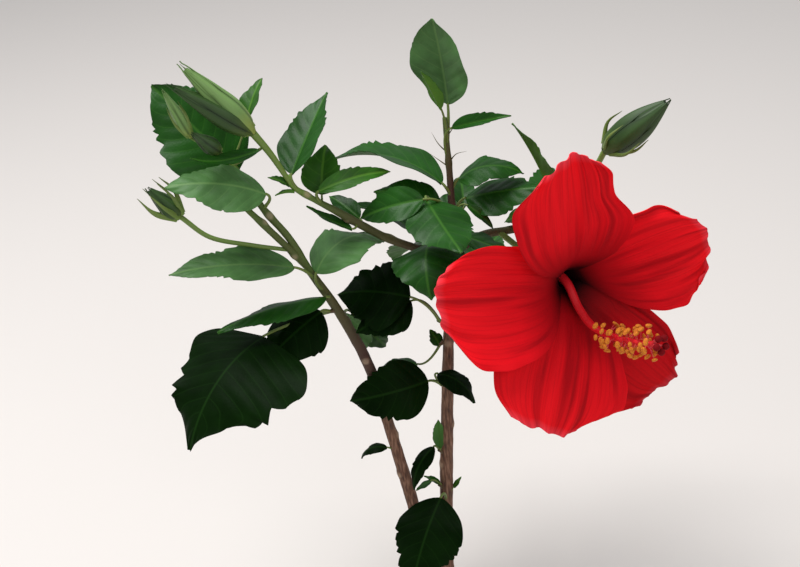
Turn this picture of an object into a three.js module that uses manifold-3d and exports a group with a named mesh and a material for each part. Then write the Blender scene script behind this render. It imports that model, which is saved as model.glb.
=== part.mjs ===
// A hibiscus shrub in flower, rooted in the ground. Two woody stems fork just above the soil. They carry
// leafy shoots, four groups of buds and one open bloom. Millimetres, +Z up, the origin in the flat cut under
// the main stem.
import * as THREE from "three";
import Module from "manifold-3d";

const wasm = await Module();
wasm.setup();

// Driving sizes in millimetres. Headings turn from +X towards +Y, and lifts rise from level, both in degrees.
const SEAM = 0.3; // free gap between a piece and the limb that carries it
const CUT = SEAM + 0.05; // added to a limb's radius where another piece is cut clear of it
const TOLERANCE = 0.12; // that a finished surface may move by where fused solids leave slivers
const LEAF_THICKNESS = 0.012; // of the blade's length
const THINNEST_LEAF = 0.35;
const FLARE_RADIUS = 3.2; // that the foot of the main stem gains at the ground
const FLARE_HEIGHT = 9;
const FLARE_RIDGES = 4;
const RIDGE_DEPTH = 0.35;
const STALK_RADIUS = 0.85;
const STALK_BEND = 0.35; // of the stalk's length, where it turns into the blade's direction
const SPUR_RADIUS = 1.6;
const PETAL_THICKNESS = 0.9;
const PETAL_TILT = 0.16; // rise of a petal's one edge for each millimetre out from its middle
const PETAL_BELL = 14; // rise of the funnel above the throat
const BELL_RUN = 12; // distance over which the funnel opens
const PETAL_RECURVE = 4; // fall of a petal's tip below a straight line
const RECURVE_START = 50;
const PETAL_RUFFLE = 2.4;
const THROAT_RADIUS = 5.6;
const TUBE_DEPTH = 18;
const CUP_LENGTH = 18; // of the calyx, below the feet of the petals
const COLUMN_RADIUS = 2.5;
const ANTHER_COUNT = 24;
const ANTHER_RADIUS = 1.3;
const FILAMENT_LENGTH = 8;
const STIGMA_COUNT = 5;
const STIGMA_LENGTH = 7;
const BRACT_RADIUS = 0.9; // least radius of a bract at its foot
const GOLDEN_ANGLE = 137.5;

// Centre lines of the limbs, each from its root to its tip, with the radius at the root and at the tip.
const MAIN_STEM = {
  line: [
    [0, 0, 0],
    [5, 0, 66],
    [9, 0, 112],
    [14, 0, 165],
    [18, 1, 203],
    [23, 2, 246],
    [24, 4, 277],
    [24, 5, 308],
  ],
  radii: [4.3, 3.9, 3.9, 3.6, 3.1, 2.4, 1.9, 1.3],
};
const LEFT_STEM = {
  line: [
    [0, 0, 3],
    [-8, -1, 18],
    [-15, -4, 72],
    [-22, -6, 117],
    [-31, -8, 168],
    [-44, -11, 206],
    [-57, -15, 235],
  ],
  radii: [3.6, 3.7, 3.6, 3.3, 3.1, 2.8, 2.2],
};
const BUD_SHOOT = {
  line: [
    [-57, -15, 235],
    [-66, -18, 258],
    [-77, -17, 275],
    [-87, -11, 293],
    [-93, -8, 303],
  ],
  radii: [2.1, 2.0, 1.9, 1.7, 1.4],
};
const SIDE_SHOOT = {
  line: [
    [-57, -15, 236],
    [-67, -20, 253],
    [-79, -24, 271],
    [-89, -20, 282],
  ],
  radii: [1.8, 1.9, 1.8, 1.4],
};
const CROSS_SHOOT = {
  line: [
    [20, 1, 221],
    [4, -2, 235],
    [-15, -6, 247],
    [-38, -10, 266],
    [-59, -12, 283],
    [-62, -12, 291],
  ],
  radii: [2.1, 2.1, 2.2, 2.3, 1.6, 1.5],
};
const FLOWER_SHOOT = {
  line: [
    [21, 2, 228],
    [38, 4, 237],
    [55, 6, 238],
    [72, 8, 240],
    [89, 8, 248],
    [100, 4, 264],
  ],
  radii: [2.2, 2.3, 2.2, 2.0, 1.7, 1.5],
};

// The bloom faces the way of its heading and lift. Its petals are counted counter-clockwise from the
// right-hand one, and each reaches out from the axis to its tip. A pair of values is for the petal's
// clockwise and counter-clockwise side: halves are their widths, rounds say how far the margin falls back
// there, and lies whether that edge lies over (1) or under (-1) the next petal. Slope is how much the funnel
// rises for each millimetre out, and pinch narrows the clockwise side towards the tip.
const BLOOM = { throat: [79, -45, 229], heading: 297, lift: -3 };
const PETALS = [
  { azimuth: 23, reach: 66, halves: [34, 27], rounds: [0.9, 0.4], lies: [1, -1], slope: 0.48, pinch: 0 },
  { azimuth: 97, reach: 84, halves: [29, 37], rounds: [0.45, 0.5], lies: [1, 1], slope: 0.155, pinch: 0.36 },
  { azimuth: 169, reach: 83, halves: [28, 34], rounds: [0.6, 0.6], lies: [-1, 1], slope: -0.134, pinch: 0 },
  { azimuth: 238, reach: 74, halves: [34, 40], rounds: [0.15, 1], lies: [-1, 1], slope: 0.39, pinch: 0 },
  { azimuth: 307, reach: 78, halves: [40, 18], rounds: [0.5, 0.6], lies: [-1, -1], slope: 0.3, pinch: 0 },
];

const BARK = new THREE.MeshStandardMaterial({ color: 0x7a6250, roughness: 0.85 });
const GREEN_BARK = new THREE.MeshStandardMaterial({ color: 0x5f6a35, roughness: 0.7 });
const OLD_LEAF = new THREE.MeshStandardMaterial({ color: 0x1f3d1f, roughness: 0.4 });
const LEAF = new THREE.MeshStandardMaterial({ color: 0x3a6b2c, roughness: 0.4 });
const YOUNG_LEAF = new THREE.MeshStandardMaterial({ color: 0x6b8f3a, roughness: 0.45 });
const PETAL_RED = new THREE.MeshStandardMaterial({ color: 0xc41a2c, roughness: 0.55 });
const COLUMN_RED = new THREE.MeshStandardMaterial({ color: 0xd2303a, roughness: 0.5 });

const shrub = new THREE.Group();

function direction(heading, lift) {
  const h = THREE.MathUtils.degToRad(heading);
  const e = THREE.MathUtils.degToRad(lift);
  return new THREE.Vector3(Math.cos(e) * Math.cos(h), Math.cos(e) * Math.sin(h), Math.sin(e));
}

// A direction with the side that faces up from it, turned by roll about it, and the side to its right.
function frameOf(heading, lift, roll = 0) {
  const along = direction(heading, lift);
  const up = direction(heading, lift + 90).applyAxisAngle(along, THREE.MathUtils.degToRad(roll));
  return { along, up, right: new THREE.Vector3().crossVectors(along, up) };
}

function curveOf(points) {
  const vectors = points.map((p) => (p.isVector3 ? p : new THREE.Vector3(...p)));
  return new THREE.CatmullRomCurve3(vectors, false, "catmullrom", 0.5);
}

// A closed solid through rings of points that all have the same count. Each end is closed straight across.
function skin(rings) {
  const count = rings[0].length;
  const points = rings.flat();
  const faces = [];
  for (let r = 0; r + 1 < rings.length; r++) {
    for (let i = 0; i < count; i++) {
      const a = r * count + i;
      const b = r * count + ((i + 1) % count);
      faces.push([a, b, b + count], [a, b + count, a + count]);
    }
  }
  const last = (rings.length - 1) * count;
  for (let i = 0, j = count - 1; i < j - 1; i++, j--) {
    faces.push([i, j, i + 1], [last + i, last + i + 1, last + j]);
    if (i + 1 < j - 1) faces.push([i + 1, j, j - 1], [last + i + 1, last + j - 1, last + j]);
  }
  const volume = faces.reduce((sum, [a, b, c]) => {
    return sum + new THREE.Vector3().crossVectors(points[b], points[c]).dot(points[a]);
  }, 0);
  if (volume < 0) faces.forEach((face) => face.reverse());
  const vertProperties = new Float32Array(points.flatMap((p) => [p.x, p.y, p.z]));
  const triVerts = new Uint32Array(faces.flat());
  return new wasm.Manifold(new wasm.Mesh({ numProp: 3, vertProperties, triVerts }));
}

function fuse(solids) {
  return wasm.Manifold.union(solids);
}

// Puts a finished solid into the shrub as one named mesh. A scrap that fusing leaves loose is dropped.
function addPiece(name, solid, material) {
  const bodies = solid.simplify(TOLERANCE).decompose();
  const whole = bodies.reduce((best, body) => (body.volume() > best.volume() ? body : best));
  const { vertProperties, triVerts } = whole.getMesh();
  const geometry = new THREE.BufferGeometry();
  geometry.setAttribute("position", new THREE.BufferAttribute(vertProperties, 3));
  geometry.setIndex(new THREE.BufferAttribute(triVerts, 1));
  geometry.computeVertexNormals();
  const mesh = new THREE.Mesh(geometry, material);
  mesh.name = name;
  shrub.add(mesh);
}

// Even steps between two fractions of a length.
function stations(from, to, steps) {
  return Array.from({ length: steps + 1 }, (_, s) => from + ((to - from) * s) / steps);
}

// The rings of a round bar along a curve, at fractions of its length, with its radius given at each.
function bar(curve, radiusAt, sides, places) {
  const first = curve.getTangentAt(places[0]);
  const across = Math.abs(first.z) < 0.9 ? new THREE.Vector3(0, 0, 1) : new THREE.Vector3(1, 0, 0);
  return places.map((u) => {
    const centre = curve.getPointAt(u);
    const tangent = curve.getTangentAt(u);
    across.addScaledVector(tangent, -across.dot(tangent)).normalize();
    const over = new THREE.Vector3().crossVectors(tangent, across);
    const ring = [];
    for (let i = 0; i < sides; i++) {
      const angle = (2 * Math.PI * i) / sides;
      const radius = radiusAt(u, angle);
      const point = centre.clone().addScaledVector(across, radius * Math.cos(angle));
      ring.push(point.addScaledVector(over, radius * Math.sin(angle)));
    }
    return ring;
  });
}

// A limb's curve, length and radius, from its line of points.
function limbOf({ line, radii }) {
  const curve = curveOf(line);
  const length = curve.getLength();
  const radiusAt = (u) => {
    const place = u * (radii.length - 1);
    const i = Math.min(Math.floor(place), radii.length - 2);
    return THREE.MathUtils.lerp(radii[i], radii[i + 1], place - i);
  };
  return { curve, length, radiusAt };
}

// The stretch of a limb between two distances from its root, made thicker by extra.
function stretch(limb, from, to, sides, step, extra = 0) {
  const steps = Math.max(2, Math.round((to - from) / step));
  const places = stations(from / limb.length, to / limb.length, steps);
  return skin(bar(limb.curve, (u) => limb.radiusAt(u) + extra, sides, places));
}

// Half the width of an oval leaf, as a fraction of its full half width, at a fraction t of its length.
const OVAL_PLACES = [0.1, 0.27, 0.46, 0.65, 0.84, 1];
const SMALL_PLACES = [0.14, 0.36, 0.66, 1];
const SMALL_LEAF = 30; // blades shorter than this take the fewer places
const POINT_WIDTH = 0.03;
function oval(t) {
  const body = Math.max(Math.sin(Math.PI * t ** 0.72), 0) ** 0.9;
  return Math.max(body, POINT_WIDTH);
}

// Half widths of a blade that isn't a plain oval, in fractions of its length, to the left and right of its
// midrib.
const OUTLINE_PLACES = [0.05, 0.2, 0.4, 0.57, 0.64, 0.72, 0.8, 0.89, 1];
const BROAD_OUTLINE = {
  left: [0.42, 0.6, 0.63, 0.59, 0.5, 0.28, 0.2, 0.09, 0.02],
  right: [0.4, 0.49, 0.44, 0.38, 0.35, 0.32, 0.22, 0.13, 0.02],
};
const CROWN_OUTLINE = {
  left: [0.09, 0.25, 0.35, 0.36, 0.34, 0.3, 0.24, 0.16, 0.02],
  right: [0.12, 0.31, 0.38, 0.37, 0.34, 0.3, 0.24, 0.16, 0.02],
};

// The rings of a leaf blade: a thin folded plate that bends down along its length. blade is [heading, lift,
// length, width]. droop bends it down, roll turns it about its length, and fold lifts its two halves from the
// midrib, all in degrees.
function bladeRings(base, { blade, droop = 30, roll = 0, fold = 10, outline }) {
  const [heading, lift, length, width] = blade;
  const { along, up, right } = frameOf(heading, lift, roll);
  const bend = THREE.MathUtils.degToRad(droop || 0.01);
  const tilt = THREE.MathUtils.degToRad(fold);
  const half = Math.max(length * LEAF_THICKNESS, THINNEST_LEAF) / 2;
  const places = outline ? OUTLINE_PLACES : length > SMALL_LEAF ? OVAL_PLACES : SMALL_PLACES;
  return places.map((t, place) => {
    const centre = base.clone().addScaledVector(along, (length * Math.sin(bend * t)) / bend);
    centre.addScaledVector(up, (-length * (1 - Math.cos(bend * t))) / bend);
    const normal = up.clone().multiplyScalar(Math.cos(bend * t)).addScaledVector(along, Math.sin(bend * t));
    const margin = (side) => {
      const hand = side < 0 ? "left" : "right";
      const reach = outline ? length * outline[hand][place] : (width / 2) * oval(t);
      const point = centre.clone().addScaledVector(right, side * reach * Math.cos(tilt));
      return point.addScaledVector(normal, reach * Math.sin(tilt));
    };
    const edges = [margin(-1), centre, margin(1)];
    const top = edges.map((point) => point.clone().addScaledVector(normal, half));
    const under = edges.map((point) => point.clone().addScaledVector(normal, -half));
    return [...top, ...under.reverse()];
  });
}

// A leaf on its stalk, as one skin. stalk is [heading, lift, length] from the limb's centre line to the foot
// of the blade. The stalk starts on that centre line, or on the tip of a spur, and bends into the blade's
// direction.
function leaf(limb, spec, spurTip) {
  const axil = limb.curve.getPointAt(spec.at / limb.length);
  const [heading, lift, reach] = spec.stalk;
  const base = axil.clone().addScaledVector(direction(heading, lift), reach);
  const root = spurTip || axil;
  const { along, up, right } = frameOf(spec.blade[0], spec.blade[1], spec.roll);
  const bend = base.clone().addScaledVector(along, -STALK_BEND * root.distanceTo(base));
  const curve = new THREE.QuadraticBezierCurve3(root, bend, base);
  const radius = Math.min(STALK_RADIUS, 0.3 + spec.blade[2] * 0.012);
  const stalk = [0, 0.55, 1].map((u) => {
    const turn = new THREE.Quaternion().setFromUnitVectors(along, curve.getTangent(u));
    const side = right.clone().applyQuaternion(turn);
    const over = up.clone().applyQuaternion(turn);
    return [150, 90, 30, -30, -90, -150].map((degrees) => {
      const angle = THREE.MathUtils.degToRad(degrees);
      const thick = radius * (1.25 - 0.35 * u);
      const point = curve.getPoint(u).addScaledVector(side, thick * Math.cos(angle));
      return point.addScaledVector(over, thick * Math.sin(angle));
    });
  });
  return skin([...stalk, ...bladeRings(base, spec)]);
}

// A spike such as a stipule or a bract: a thin cone that bends by sag degrees.
function spike(root, heading, lift, length, width, sag = 0) {
  const middle = root.clone().addScaledVector(direction(heading, lift), length / 2);
  const tip = middle.clone().addScaledVector(direction(heading, lift - sag), length / 2);
  return skin(bar(curveOf([root, middle, tip]), (u) => (width / 2) * (1.05 - u), 3, stations(0, 1, 2)));
}

// A closed bud with a crown of thin bracts round its foot. shape is [heading, lift, length, width], and the
// profile is full in a ripe bud and tapered in a younger one.
const FULL_BUD = [[0, 0.3], [0.1, 0.72], [0.3, 1], [0.55, 0.95], [0.8, 0.55], [1, 0.06]];
const TAPERED_BUD = [[0, 0.3], [0.1, 0.72], [0.28, 1], [0.55, 0.8], [0.8, 0.45], [1, 0.06]];
function bud(foot, { shape, profile = TAPERED_BUD, bracts = 5, bractLength = 0.4, spread = 35 }) {
  const [heading, lift, length, width] = shape;
  const { along, up, right } = frameOf(heading, lift);
  const rings = profile.map(([t, fraction]) => {
    const ring = [];
    for (let i = 0; i < 6; i++) {
      const angle = (Math.PI * i) / 3;
      const reach = (fraction * width) / 2;
      const point = foot.clone().addScaledVector(along, t * length);
      point.addScaledVector(right, reach * Math.cos(angle));
      ring.push(point.addScaledVector(up, reach * Math.sin(angle)));
    }
    return ring;
  });
  const solids = [skin(rings)];
  for (let i = 0; i < bracts; i++) {
    const angle = (2 * Math.PI * (i + 0.5)) / bracts;
    const out = right.clone().multiplyScalar(Math.cos(angle)).addScaledVector(up, Math.sin(angle));
    const root = foot.clone().addScaledVector(along, 0.05 * length).addScaledVector(out, 0.2 * width);
    const lean = THREE.MathUtils.degToRad(spread);
    const way = along.clone().multiplyScalar(Math.cos(lean)).addScaledVector(out, Math.sin(lean));
    const middle = root.clone().addScaledVector(way, bractLength * length * 0.55);
    const tip = middle.clone().addScaledVector(along, bractLength * length * 0.5);
    const thickness = (u) => Math.max(0.07 * width, BRACT_RADIUS) * (1.1 - u);
    solids.push(skin(bar(curveOf([root, middle, tip]), thickness, 3, stations(0, 1, 2))));
  }
  return solids;
}

// A twig from a point through others, round and tapering.
function twig(points, from, to, sides = 5) {
  const curve = curveOf(points);
  const steps = Math.max(2, Math.round(curve.getLength() / 9));
  return skin(bar(curve, (u) => THREE.MathUtils.lerp(from, to, u), sides, stations(0, 1, steps)));
}

const mainStem = limbOf(MAIN_STEM);
const leftStem = limbOf(LEFT_STEM);
const budShoot = limbOf(BUD_SHOOT);
const sideShoot = limbOf(SIDE_SHOOT);
const crossShoot = limbOf(CROSS_SHOOT);
const flowerShoot = limbOf(FLOWER_SHOOT);

// Where each limb ends and the mass of leaves on its tip begins, in millimetres along it.
const MAIN_END = 243;
const LEFT_END = leftStem.length;
const BUD_END = 42;
const SIDE_END = 38;
const CROSS_END = 56;
const FLOWER_END = 50;

// The main stem's radius at its foot swells into low ridges that run out in the roots.
function flaredRadius(u, angle) {
  const swell = FLARE_RADIUS * Math.exp((-u * mainStem.length) / FLARE_HEIGHT);
  return mainStem.radiusAt(u) + swell * (1 + RIDGE_DEPTH * Math.cos(FLARE_RIDGES * angle));
}

// Limbs. The main stem stands on a flat cut. Every other limb is cut clear of the one that carries it.
function addLimbs() {
  const low = [0, 4, 8, 14, 22].map((height) => height / mainStem.length);
  const rest = stations(32 / mainStem.length, MAIN_END / mainStem.length, 17);
  const rings = bar(mainStem.curve, flaredRadius, 12, [...low, ...rest]);
  rings[0].forEach((point) => point.setZ(0));
  addPiece("main_stem", skin(rings), BARK);

  const fatFoot = (u, angle) => flaredRadius(u, angle) + CUT;
  const clearOfMain = fuse([
    stretch(mainStem, 30, MAIN_END, 12, 12, CUT),
    skin(bar(mainStem.curve, fatFoot, 12, [...low, rest[0]])),
  ]);
  const aroundLeft = stretch(leftStem, 0, LEFT_END, 10, 12, CUT);
  const aroundBud = stretch(budShoot, 0, BUD_END, 8, 9, CUT);
  const aroundSide = stretch(sideShoot, 0, SIDE_END, 7, 9, CUT);
  const aroundFlower = stretch(flowerShoot, 0, FLOWER_END, 8, 9, CUT);

  addPiece("left_stem", stretch(leftStem, 0, LEFT_END, 10, 15).subtract(clearOfMain), BARK);
  addPiece("bud_shoot", stretch(budShoot, 0, BUD_END, 8, 9).subtract(aroundLeft), GREEN_BARK);
  const sideCut = fuse([aroundLeft, aroundBud]);
  addPiece("side_shoot", stretch(sideShoot, 0, SIDE_END, 7, 9).subtract(sideCut), GREEN_BARK);
  addPiece("cross_shoot", stretch(crossShoot, 0, CROSS_END, 8, 9).subtract(clearOfMain), BARK);
  addPiece("flower_shoot", stretch(flowerShoot, 0, FLOWER_END, 8, 9).subtract(clearOfMain), GREEN_BARK);
  return { clearOfMain, aroundLeft, aroundSide, aroundFlower };
}
const { clearOfMain, aroundLeft, aroundSide, aroundFlower } = addLimbs();

// Leaves of the crown round the top of the main stem.
const CROWN_LEAVES = [
  { at: 294, stalk: [52, 80, 22], blade: [50, 93, 50, 36], droop: -10, fold: 14, outline: CROWN_OUTLINE },
  { at: 292, stalk: [250, 78, 25], blade: [215, 68, 27, 9], droop: 8, roll: 30, fold: 25 },
  { at: 284, stalk: [310, 78, 21], blade: [338, 18, 34, 11], droop: 15, roll: 40, fold: 30 },
  { at: 264, stalk: [196, 63, 10], blade: [147, 37, 79, 37], droop: 68, roll: 14, fold: 12 },
  { at: 267, stalk: [7, 56, 8], blade: [336, 46, 40, 25], droop: 90, roll: 20, fold: -12 },
  { at: 256, stalk: [45, -9, 10], blade: [86, 33, 28, 14], droop: 35, roll: 10, fold: 12 },
  { at: 253, stalk: [22, 44, 12], blade: [331, 20, 48, 28], droop: 21, roll: 32, fold: -20 },
  { at: 253, stalk: [225, 43, 11], blade: [180, 40, 42, 24], droop: 70, roll: -40, fold: -10 },
  { at: 251, stalk: [234, 41, 34], blade: [186, 0, 40, 20], droop: 60, roll: -50, fold: 8 },
  { at: 249, stalk: [232, 46, 31], blade: [288, -20, 48, 37], droop: -10, fold: -10 },
  { at: 247, stalk: [229, -5, 21], blade: [255, 21, 42, 42], droop: 110, roll: 10, fold: -12 },
  { at: 247, stalk: [323, 53, 18], blade: [335, -30, 21, 6], droop: 50, roll: 33, fold: 15 },
  { at: 246, stalk: [295, -2, 12], blade: [342, -18, 30, 20], droop: 10, fold: 0 },
];
function addCrown() {
  const solids = [stretch(mainStem, MAIN_END + SEAM, mainStem.length, 8, 10)];
  CROWN_LEAVES.forEach((spec) => solids.push(leaf(mainStem, spec)));
  const hair = (at, heading, lift, length, sag) => {
    solids.push(spike(mainStem.curve.getPointAt(at / mainStem.length), heading, lift, length, 1, sag));
  };
  hair(289, 170, 50, 15, -15);
  hair(281, 170, 40, 13, 0);
  hair(298, 10, 50, 10, 0);
  hair(283, 0, 50, 13, 40);
  addPiece("crown_leaves", fuse(solids), YOUNG_LEAF);
}
addCrown();

// Leaves and the pair of large buds at the end of the shoot that crosses between the stems.
const CROSS_LEAVES = [
  { at: 100, stalk: [180, 75, 10], blade: [55, 42, 51, 30], droop: 5, roll: -10, fold: 16 },
  { at: 85, stalk: [88, 18, 7], blade: [71, 77, 28, 24], droop: 40, fold: 10 },
  { at: 85, stalk: [249, 69, 9], blade: [5, 20, 45, 12], droop: 55, roll: 45, fold: 15 },
  { at: 62, stalk: [241, -9, 6], blade: [162, 18, 28, 9], droop: -20, fold: 15 },
  { at: 59, stalk: [96, 3, 9], blade: [136, 30, 26, 12], droop: 30, roll: -22, fold: 10 },
];
function addCrossLeaves() {
  const solids = [stretch(crossShoot, CROSS_END + SEAM, crossShoot.length, 7, 10)];
  CROSS_LEAVES.forEach((spec) => solids.push(leaf(crossShoot, spec)));
  const tip = crossShoot.curve.getPointAt(1);
  const root = crossShoot.curve.getPointAt(0.96);
  const fork = new THREE.Vector3(-77, -16, 318);
  solids.push(twig([root, tip.clone().lerp(fork, 0.5), fork], 1.4, 2.1, 6));
  solids.push(...bud(fork, { shape: [187, 53, 53, 14], bracts: 6, bractLength: 0.35, spread: 14 }));
  solids.push(...bud(fork, { shape: [195, 41, 52, 13], bracts: 6, bractLength: 0.35, spread: 14 }));
  addPiece("cross_leaves", fuse(solids), LEAF);
}
addCrossLeaves();

// Leaves and two small buds at the top of the left-hand shoot.
const UPPER_LEFT_LEAVES = [
  { at: 72, stalk: [64, -41, 4], blade: [157, 46, 66, 50], droop: 15, roll: -55, fold: 10 },
  { at: 46, stalk: [293, 51, 15], blade: [201, 35, 55, 33], droop: 50, roll: -33, fold: -12 },
  { at: 74, stalk: [347, 29, 18], blade: [208, -9, 46, 9], droop: -50, roll: -30, fold: 15 },
  { at: 75, stalk: [37, 58, 25], blade: [60, 57, 24, 16], droop: 25, roll: -20, fold: 15 },
];
function addUpperLeft() {
  const solids = [stretch(budShoot, BUD_END + SEAM, budShoot.length, 7, 9)];
  UPPER_LEFT_LEAVES.forEach((spec) => solids.push(leaf(budShoot, spec)));
  const top = budShoot.curve.getPointAt(1).add(new THREE.Vector3(0, 0, -2));
  const longFoot = new THREE.Vector3(-109, -18, 320);
  const shortFoot = new THREE.Vector3(-95, -20, 311);
  solids.push(twig([top, top.clone().lerp(longFoot, 0.5), longFoot], 0.9, 0.9, 4));
  solids.push(...bud(longFoot, { shape: [190, 69, 30, 7], bracts: 4, bractLength: 0.6, spread: 20 }));
  solids.push(twig([top, top.clone().lerp(shortFoot, 0.5), shortFoot], 0.9, 0.9, 4));
  solids.push(...bud(shortFoot, { shape: [206, 46, 20, 9], bracts: 4, bractLength: 0.5, spread: 20 }));
  addPiece("upper_left_leaves", fuse(solids), LEAF);
}
addUpperLeft();

// The tip of the side shoot, with a leaf turned away to the back.
const SIDE_LEAVES = [
  { at: 46, stalk: [120, 20, 10], blade: [140, 25, 40, 26], droop: 40, roll: 0, fold: 10 },
];
function addSideLeaves() {
  const solids = [stretch(sideShoot, SIDE_END + SEAM, sideShoot.length, 7, 6)];
  SIDE_LEAVES.forEach((spec) => solids.push(leaf(sideShoot, spec)));
  addPiece("side_leaves", fuse(solids), LEAF);
}
addSideLeaves();

// Bud with open bracts on a long bare stalk, to the far left.
function addLeftBud() {
  const root = sideShoot.curve.getPointAt(18 / sideShoot.length);
  const foot = new THREE.Vector3(-121, -20, 277);
  const line = [root, new THREE.Vector3(-86, -21, 257), new THREE.Vector3(-107, -21, 264), foot];
  const flower = bud(foot, { shape: [188, 52, 24, 11], bracts: 7, bractLength: 0.95, spread: 30 });
  addPiece("left_bud", fuse([twig(line, 1.1, 1.4), ...flower]).subtract(aroundSide), YOUNG_LEAF);
}
addLeftBud();

// Leaves that spring straight from a stem, each group a piece of its own, cut clear of that stem.
const STEM_GROUPS = [
  {
    name: "left_outer_leaves",
    limb: leftStem,
    clear: aroundLeft,
    material: LEAF,
    leaves: [{ at: 232, stalk: [220, 47, 22], blade: [192, 21, 68, 30], droop: 30, roll: -15, fold: 5 }],
  },
  {
    name: "left_fan_leaf",
    limb: leftStem,
    clear: aroundLeft,
    material: LEAF,
    leaves: [{ at: 227, stalk: [247, 62, 16], blade: [33, 60, 54, 42], droop: 112, fold: -8 }],
  },
  {
    name: "left_long_leaf",
    limb: leftStem,
    clear: aroundLeft,
    material: LEAF,
    leaves: [{ at: 222, stalk: [262, 28, 7], blade: [200, 10, 64, 24], droop: 27, fold: -20 }],
  },
  {
    name: "left_broad_leaves",
    limb: leftStem,
    clear: aroundLeft,
    material: OLD_LEAF,
    spur: [212, 212, 10, 5.5],
    leaves: [
      { at: 214, stalk: [216, 9, 10], blade: [215, -15, 42, 36], droop: 30, roll: -30, fold: -10 },
      {
        at: 209,
        stalk: [204, 1, 46],
        blade: [225, -1, 78, 74],
        droop: 68,
        roll: -2,
        fold: -6,
        outline: BROAD_OUTLINE,
      },
    ],
  },
  {
    name: "left_back_leaves",
    limb: leftStem,
    clear: aroundLeft,
    material: LEAF,
    spur: [207, 80, -10, 6],
    leaves: [
      { at: 207, stalk: [90, -16, 16], blade: [40, -60, 34, 28], droop: 20, fold: 8 },
      { at: 207, stalk: [74, -22, 21], blade: [7, -59, 38, 22], droop: 35, roll: 90, fold: 8 },
    ],
  },
  {
    name: "left_small_leaf",
    limb: leftStem,
    clear: aroundLeft,
    material: LEAF,
    leaves: [{ at: 112, stalk: [204, 27, 6], blade: [174, 24, 21, 10], droop: 100, roll: -8, fold: -15 }],
  },
  {
    name: "middle_leaves",
    limb: mainStem,
    clear: clearOfMain,
    material: OLD_LEAF,
    spur: [186, 214, 40, 8],
    leaves: [
      { at: 187, stalk: [215, 47, 36], blade: [178, 22, 44, 44], droop: 55, roll: -38, fold: -12 },
      { at: 186, stalk: [213, 46, 34], blade: [205, -5, 36, 28], droop: 40, roll: -35, fold: -10 },
    ],
  },
  {
    name: "twig_leaf",
    limb: mainStem,
    clear: clearOfMain,
    material: LEAF,
    spur: [178, 205, -20, 6],
    leaves: [
      { at: 178, stalk: [192, -33, 23], blade: [176, 21, 29, 16], droop: 70, roll: -6, fold: -12 },
      { at: 178, stalk: [216, -19, 7], blade: [130, 58, 11, 9], droop: 20, fold: 0 },
    ],
  },
  {
    name: "lower_leaves",
    limb: mainStem,
    clear: clearOfMain,
    material: OLD_LEAF,
    spur: [147, 232, 35, 6.5],
    leaves: [
      { at: 147, stalk: [223, 35, 18], blade: [218, 6, 50, 35], droop: 78, roll: -68, fold: 0 },
      { at: 149, stalk: [240, 48, 17], blade: [333, 6, 30, 20], droop: 86, fold: -10 },
    ],
  },
  {
    name: "small_shoot",
    limb: mainStem,
    clear: clearOfMain,
    material: LEAF,
    spur: [101, 218, 45, 6.5],
    leaves: [
      { at: 102, stalk: [227, 50, 8], blade: [279, 97, 20, 8], droop: 20, fold: 10 },
      { at: 101, stalk: [210, 48, 12], blade: [222, -7, 33, 12], droop: 100, roll: -10, fold: -20 },
    ],
  },
  {
    name: "low_left_leaf",
    limb: mainStem,
    clear: clearOfMain,
    material: LEAF,
    spur: [77, 222, 45, 6.5],
    leaves: [
      { at: 77, stalk: [230, 52, 8], blade: [170, 35, 11, 6], droop: 10, fold: 10 },
      { at: 77, stalk: [215, 46, 15], blade: [194, -9, 11, 6], droop: 30, fold: -10 },
    ],
  },
  {
    name: "low_front_leaf",
    limb: mainStem,
    clear: clearOfMain,
    material: OLD_LEAF,
    leaves: [{ at: 67, stalk: [257, 43, 20], blade: [235, -30, 60, 44], droop: 40, roll: -5, fold: -12 }],
  },
  {
    name: "low_right_leaf",
    limb: mainStem,
    clear: clearOfMain,
    material: YOUNG_LEAF,
    leaves: [{ at: 71, stalk: [336, 56, 9], blade: [30, 47, 8, 4], droop: 13, fold: 0 }],
  },
];
STEM_GROUPS.forEach(({ name, limb, clear, material, leaves, spur }) => {
  const solids = [];
  let spurTip;
  if (spur) {
    const [at, heading, lift, length] = spur;
    const root = limb.curve.getPointAt(at / limb.length);
    spurTip = root.clone().addScaledVector(direction(heading, lift), length);
    const beyond = root.clone().addScaledVector(direction(heading, lift), length + SPUR_RADIUS);
    solids.push(twig([root, spurTip, beyond], SPUR_RADIUS, 0.6 * SPUR_RADIUS, 6));
  }
  leaves.forEach((spec) => solids.push(leaf(limb, spec, spurTip)));
  addPiece(name, fuse(solids).subtract(clear), material);
});

// Leaves on the end of the flower shoot, and the bud that rises past the bloom.
const RIGHT_LEAVES = [
  { at: 58, stalk: [305, 75, 19], blade: [150, 70, 44, 22], droop: 15, roll: 45, fold: 14 },
  { at: 57, stalk: [227, 40, 11], blade: [168, 1, 20, 12], droop: 45, roll: -26, fold: 10 },
];
function addRightLeaves() {
  const solids = [stretch(flowerShoot, FLOWER_END + SEAM, flowerShoot.length, 7, 9)];
  RIGHT_LEAVES.forEach((spec) => solids.push(leaf(flowerShoot, spec)));
  const tip = flowerShoot.curve.getPointAt(1);
  const root = flowerShoot.curve.getPointAt(0.96);
  const foot = new THREE.Vector3(108, -2, 282);
  solids.push(twig([root, tip.clone().lerp(foot, 0.5), foot], 1.5, 1.7, 6));
  const shape = [341, 40, 47, 17];
  solids.push(...bud(foot, { shape, profile: FULL_BUD, bracts: 5, bractLength: 0.45, spread: 42 }));
  addPiece("right_leaves", fuse(solids), LEAF);
}
addRightLeaves();

const bloom = frameOf(BLOOM.heading, BLOOM.lift);
bloom.throat = new THREE.Vector3(...BLOOM.throat);
bloom.across = bloom.right.clone().negate();

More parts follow.
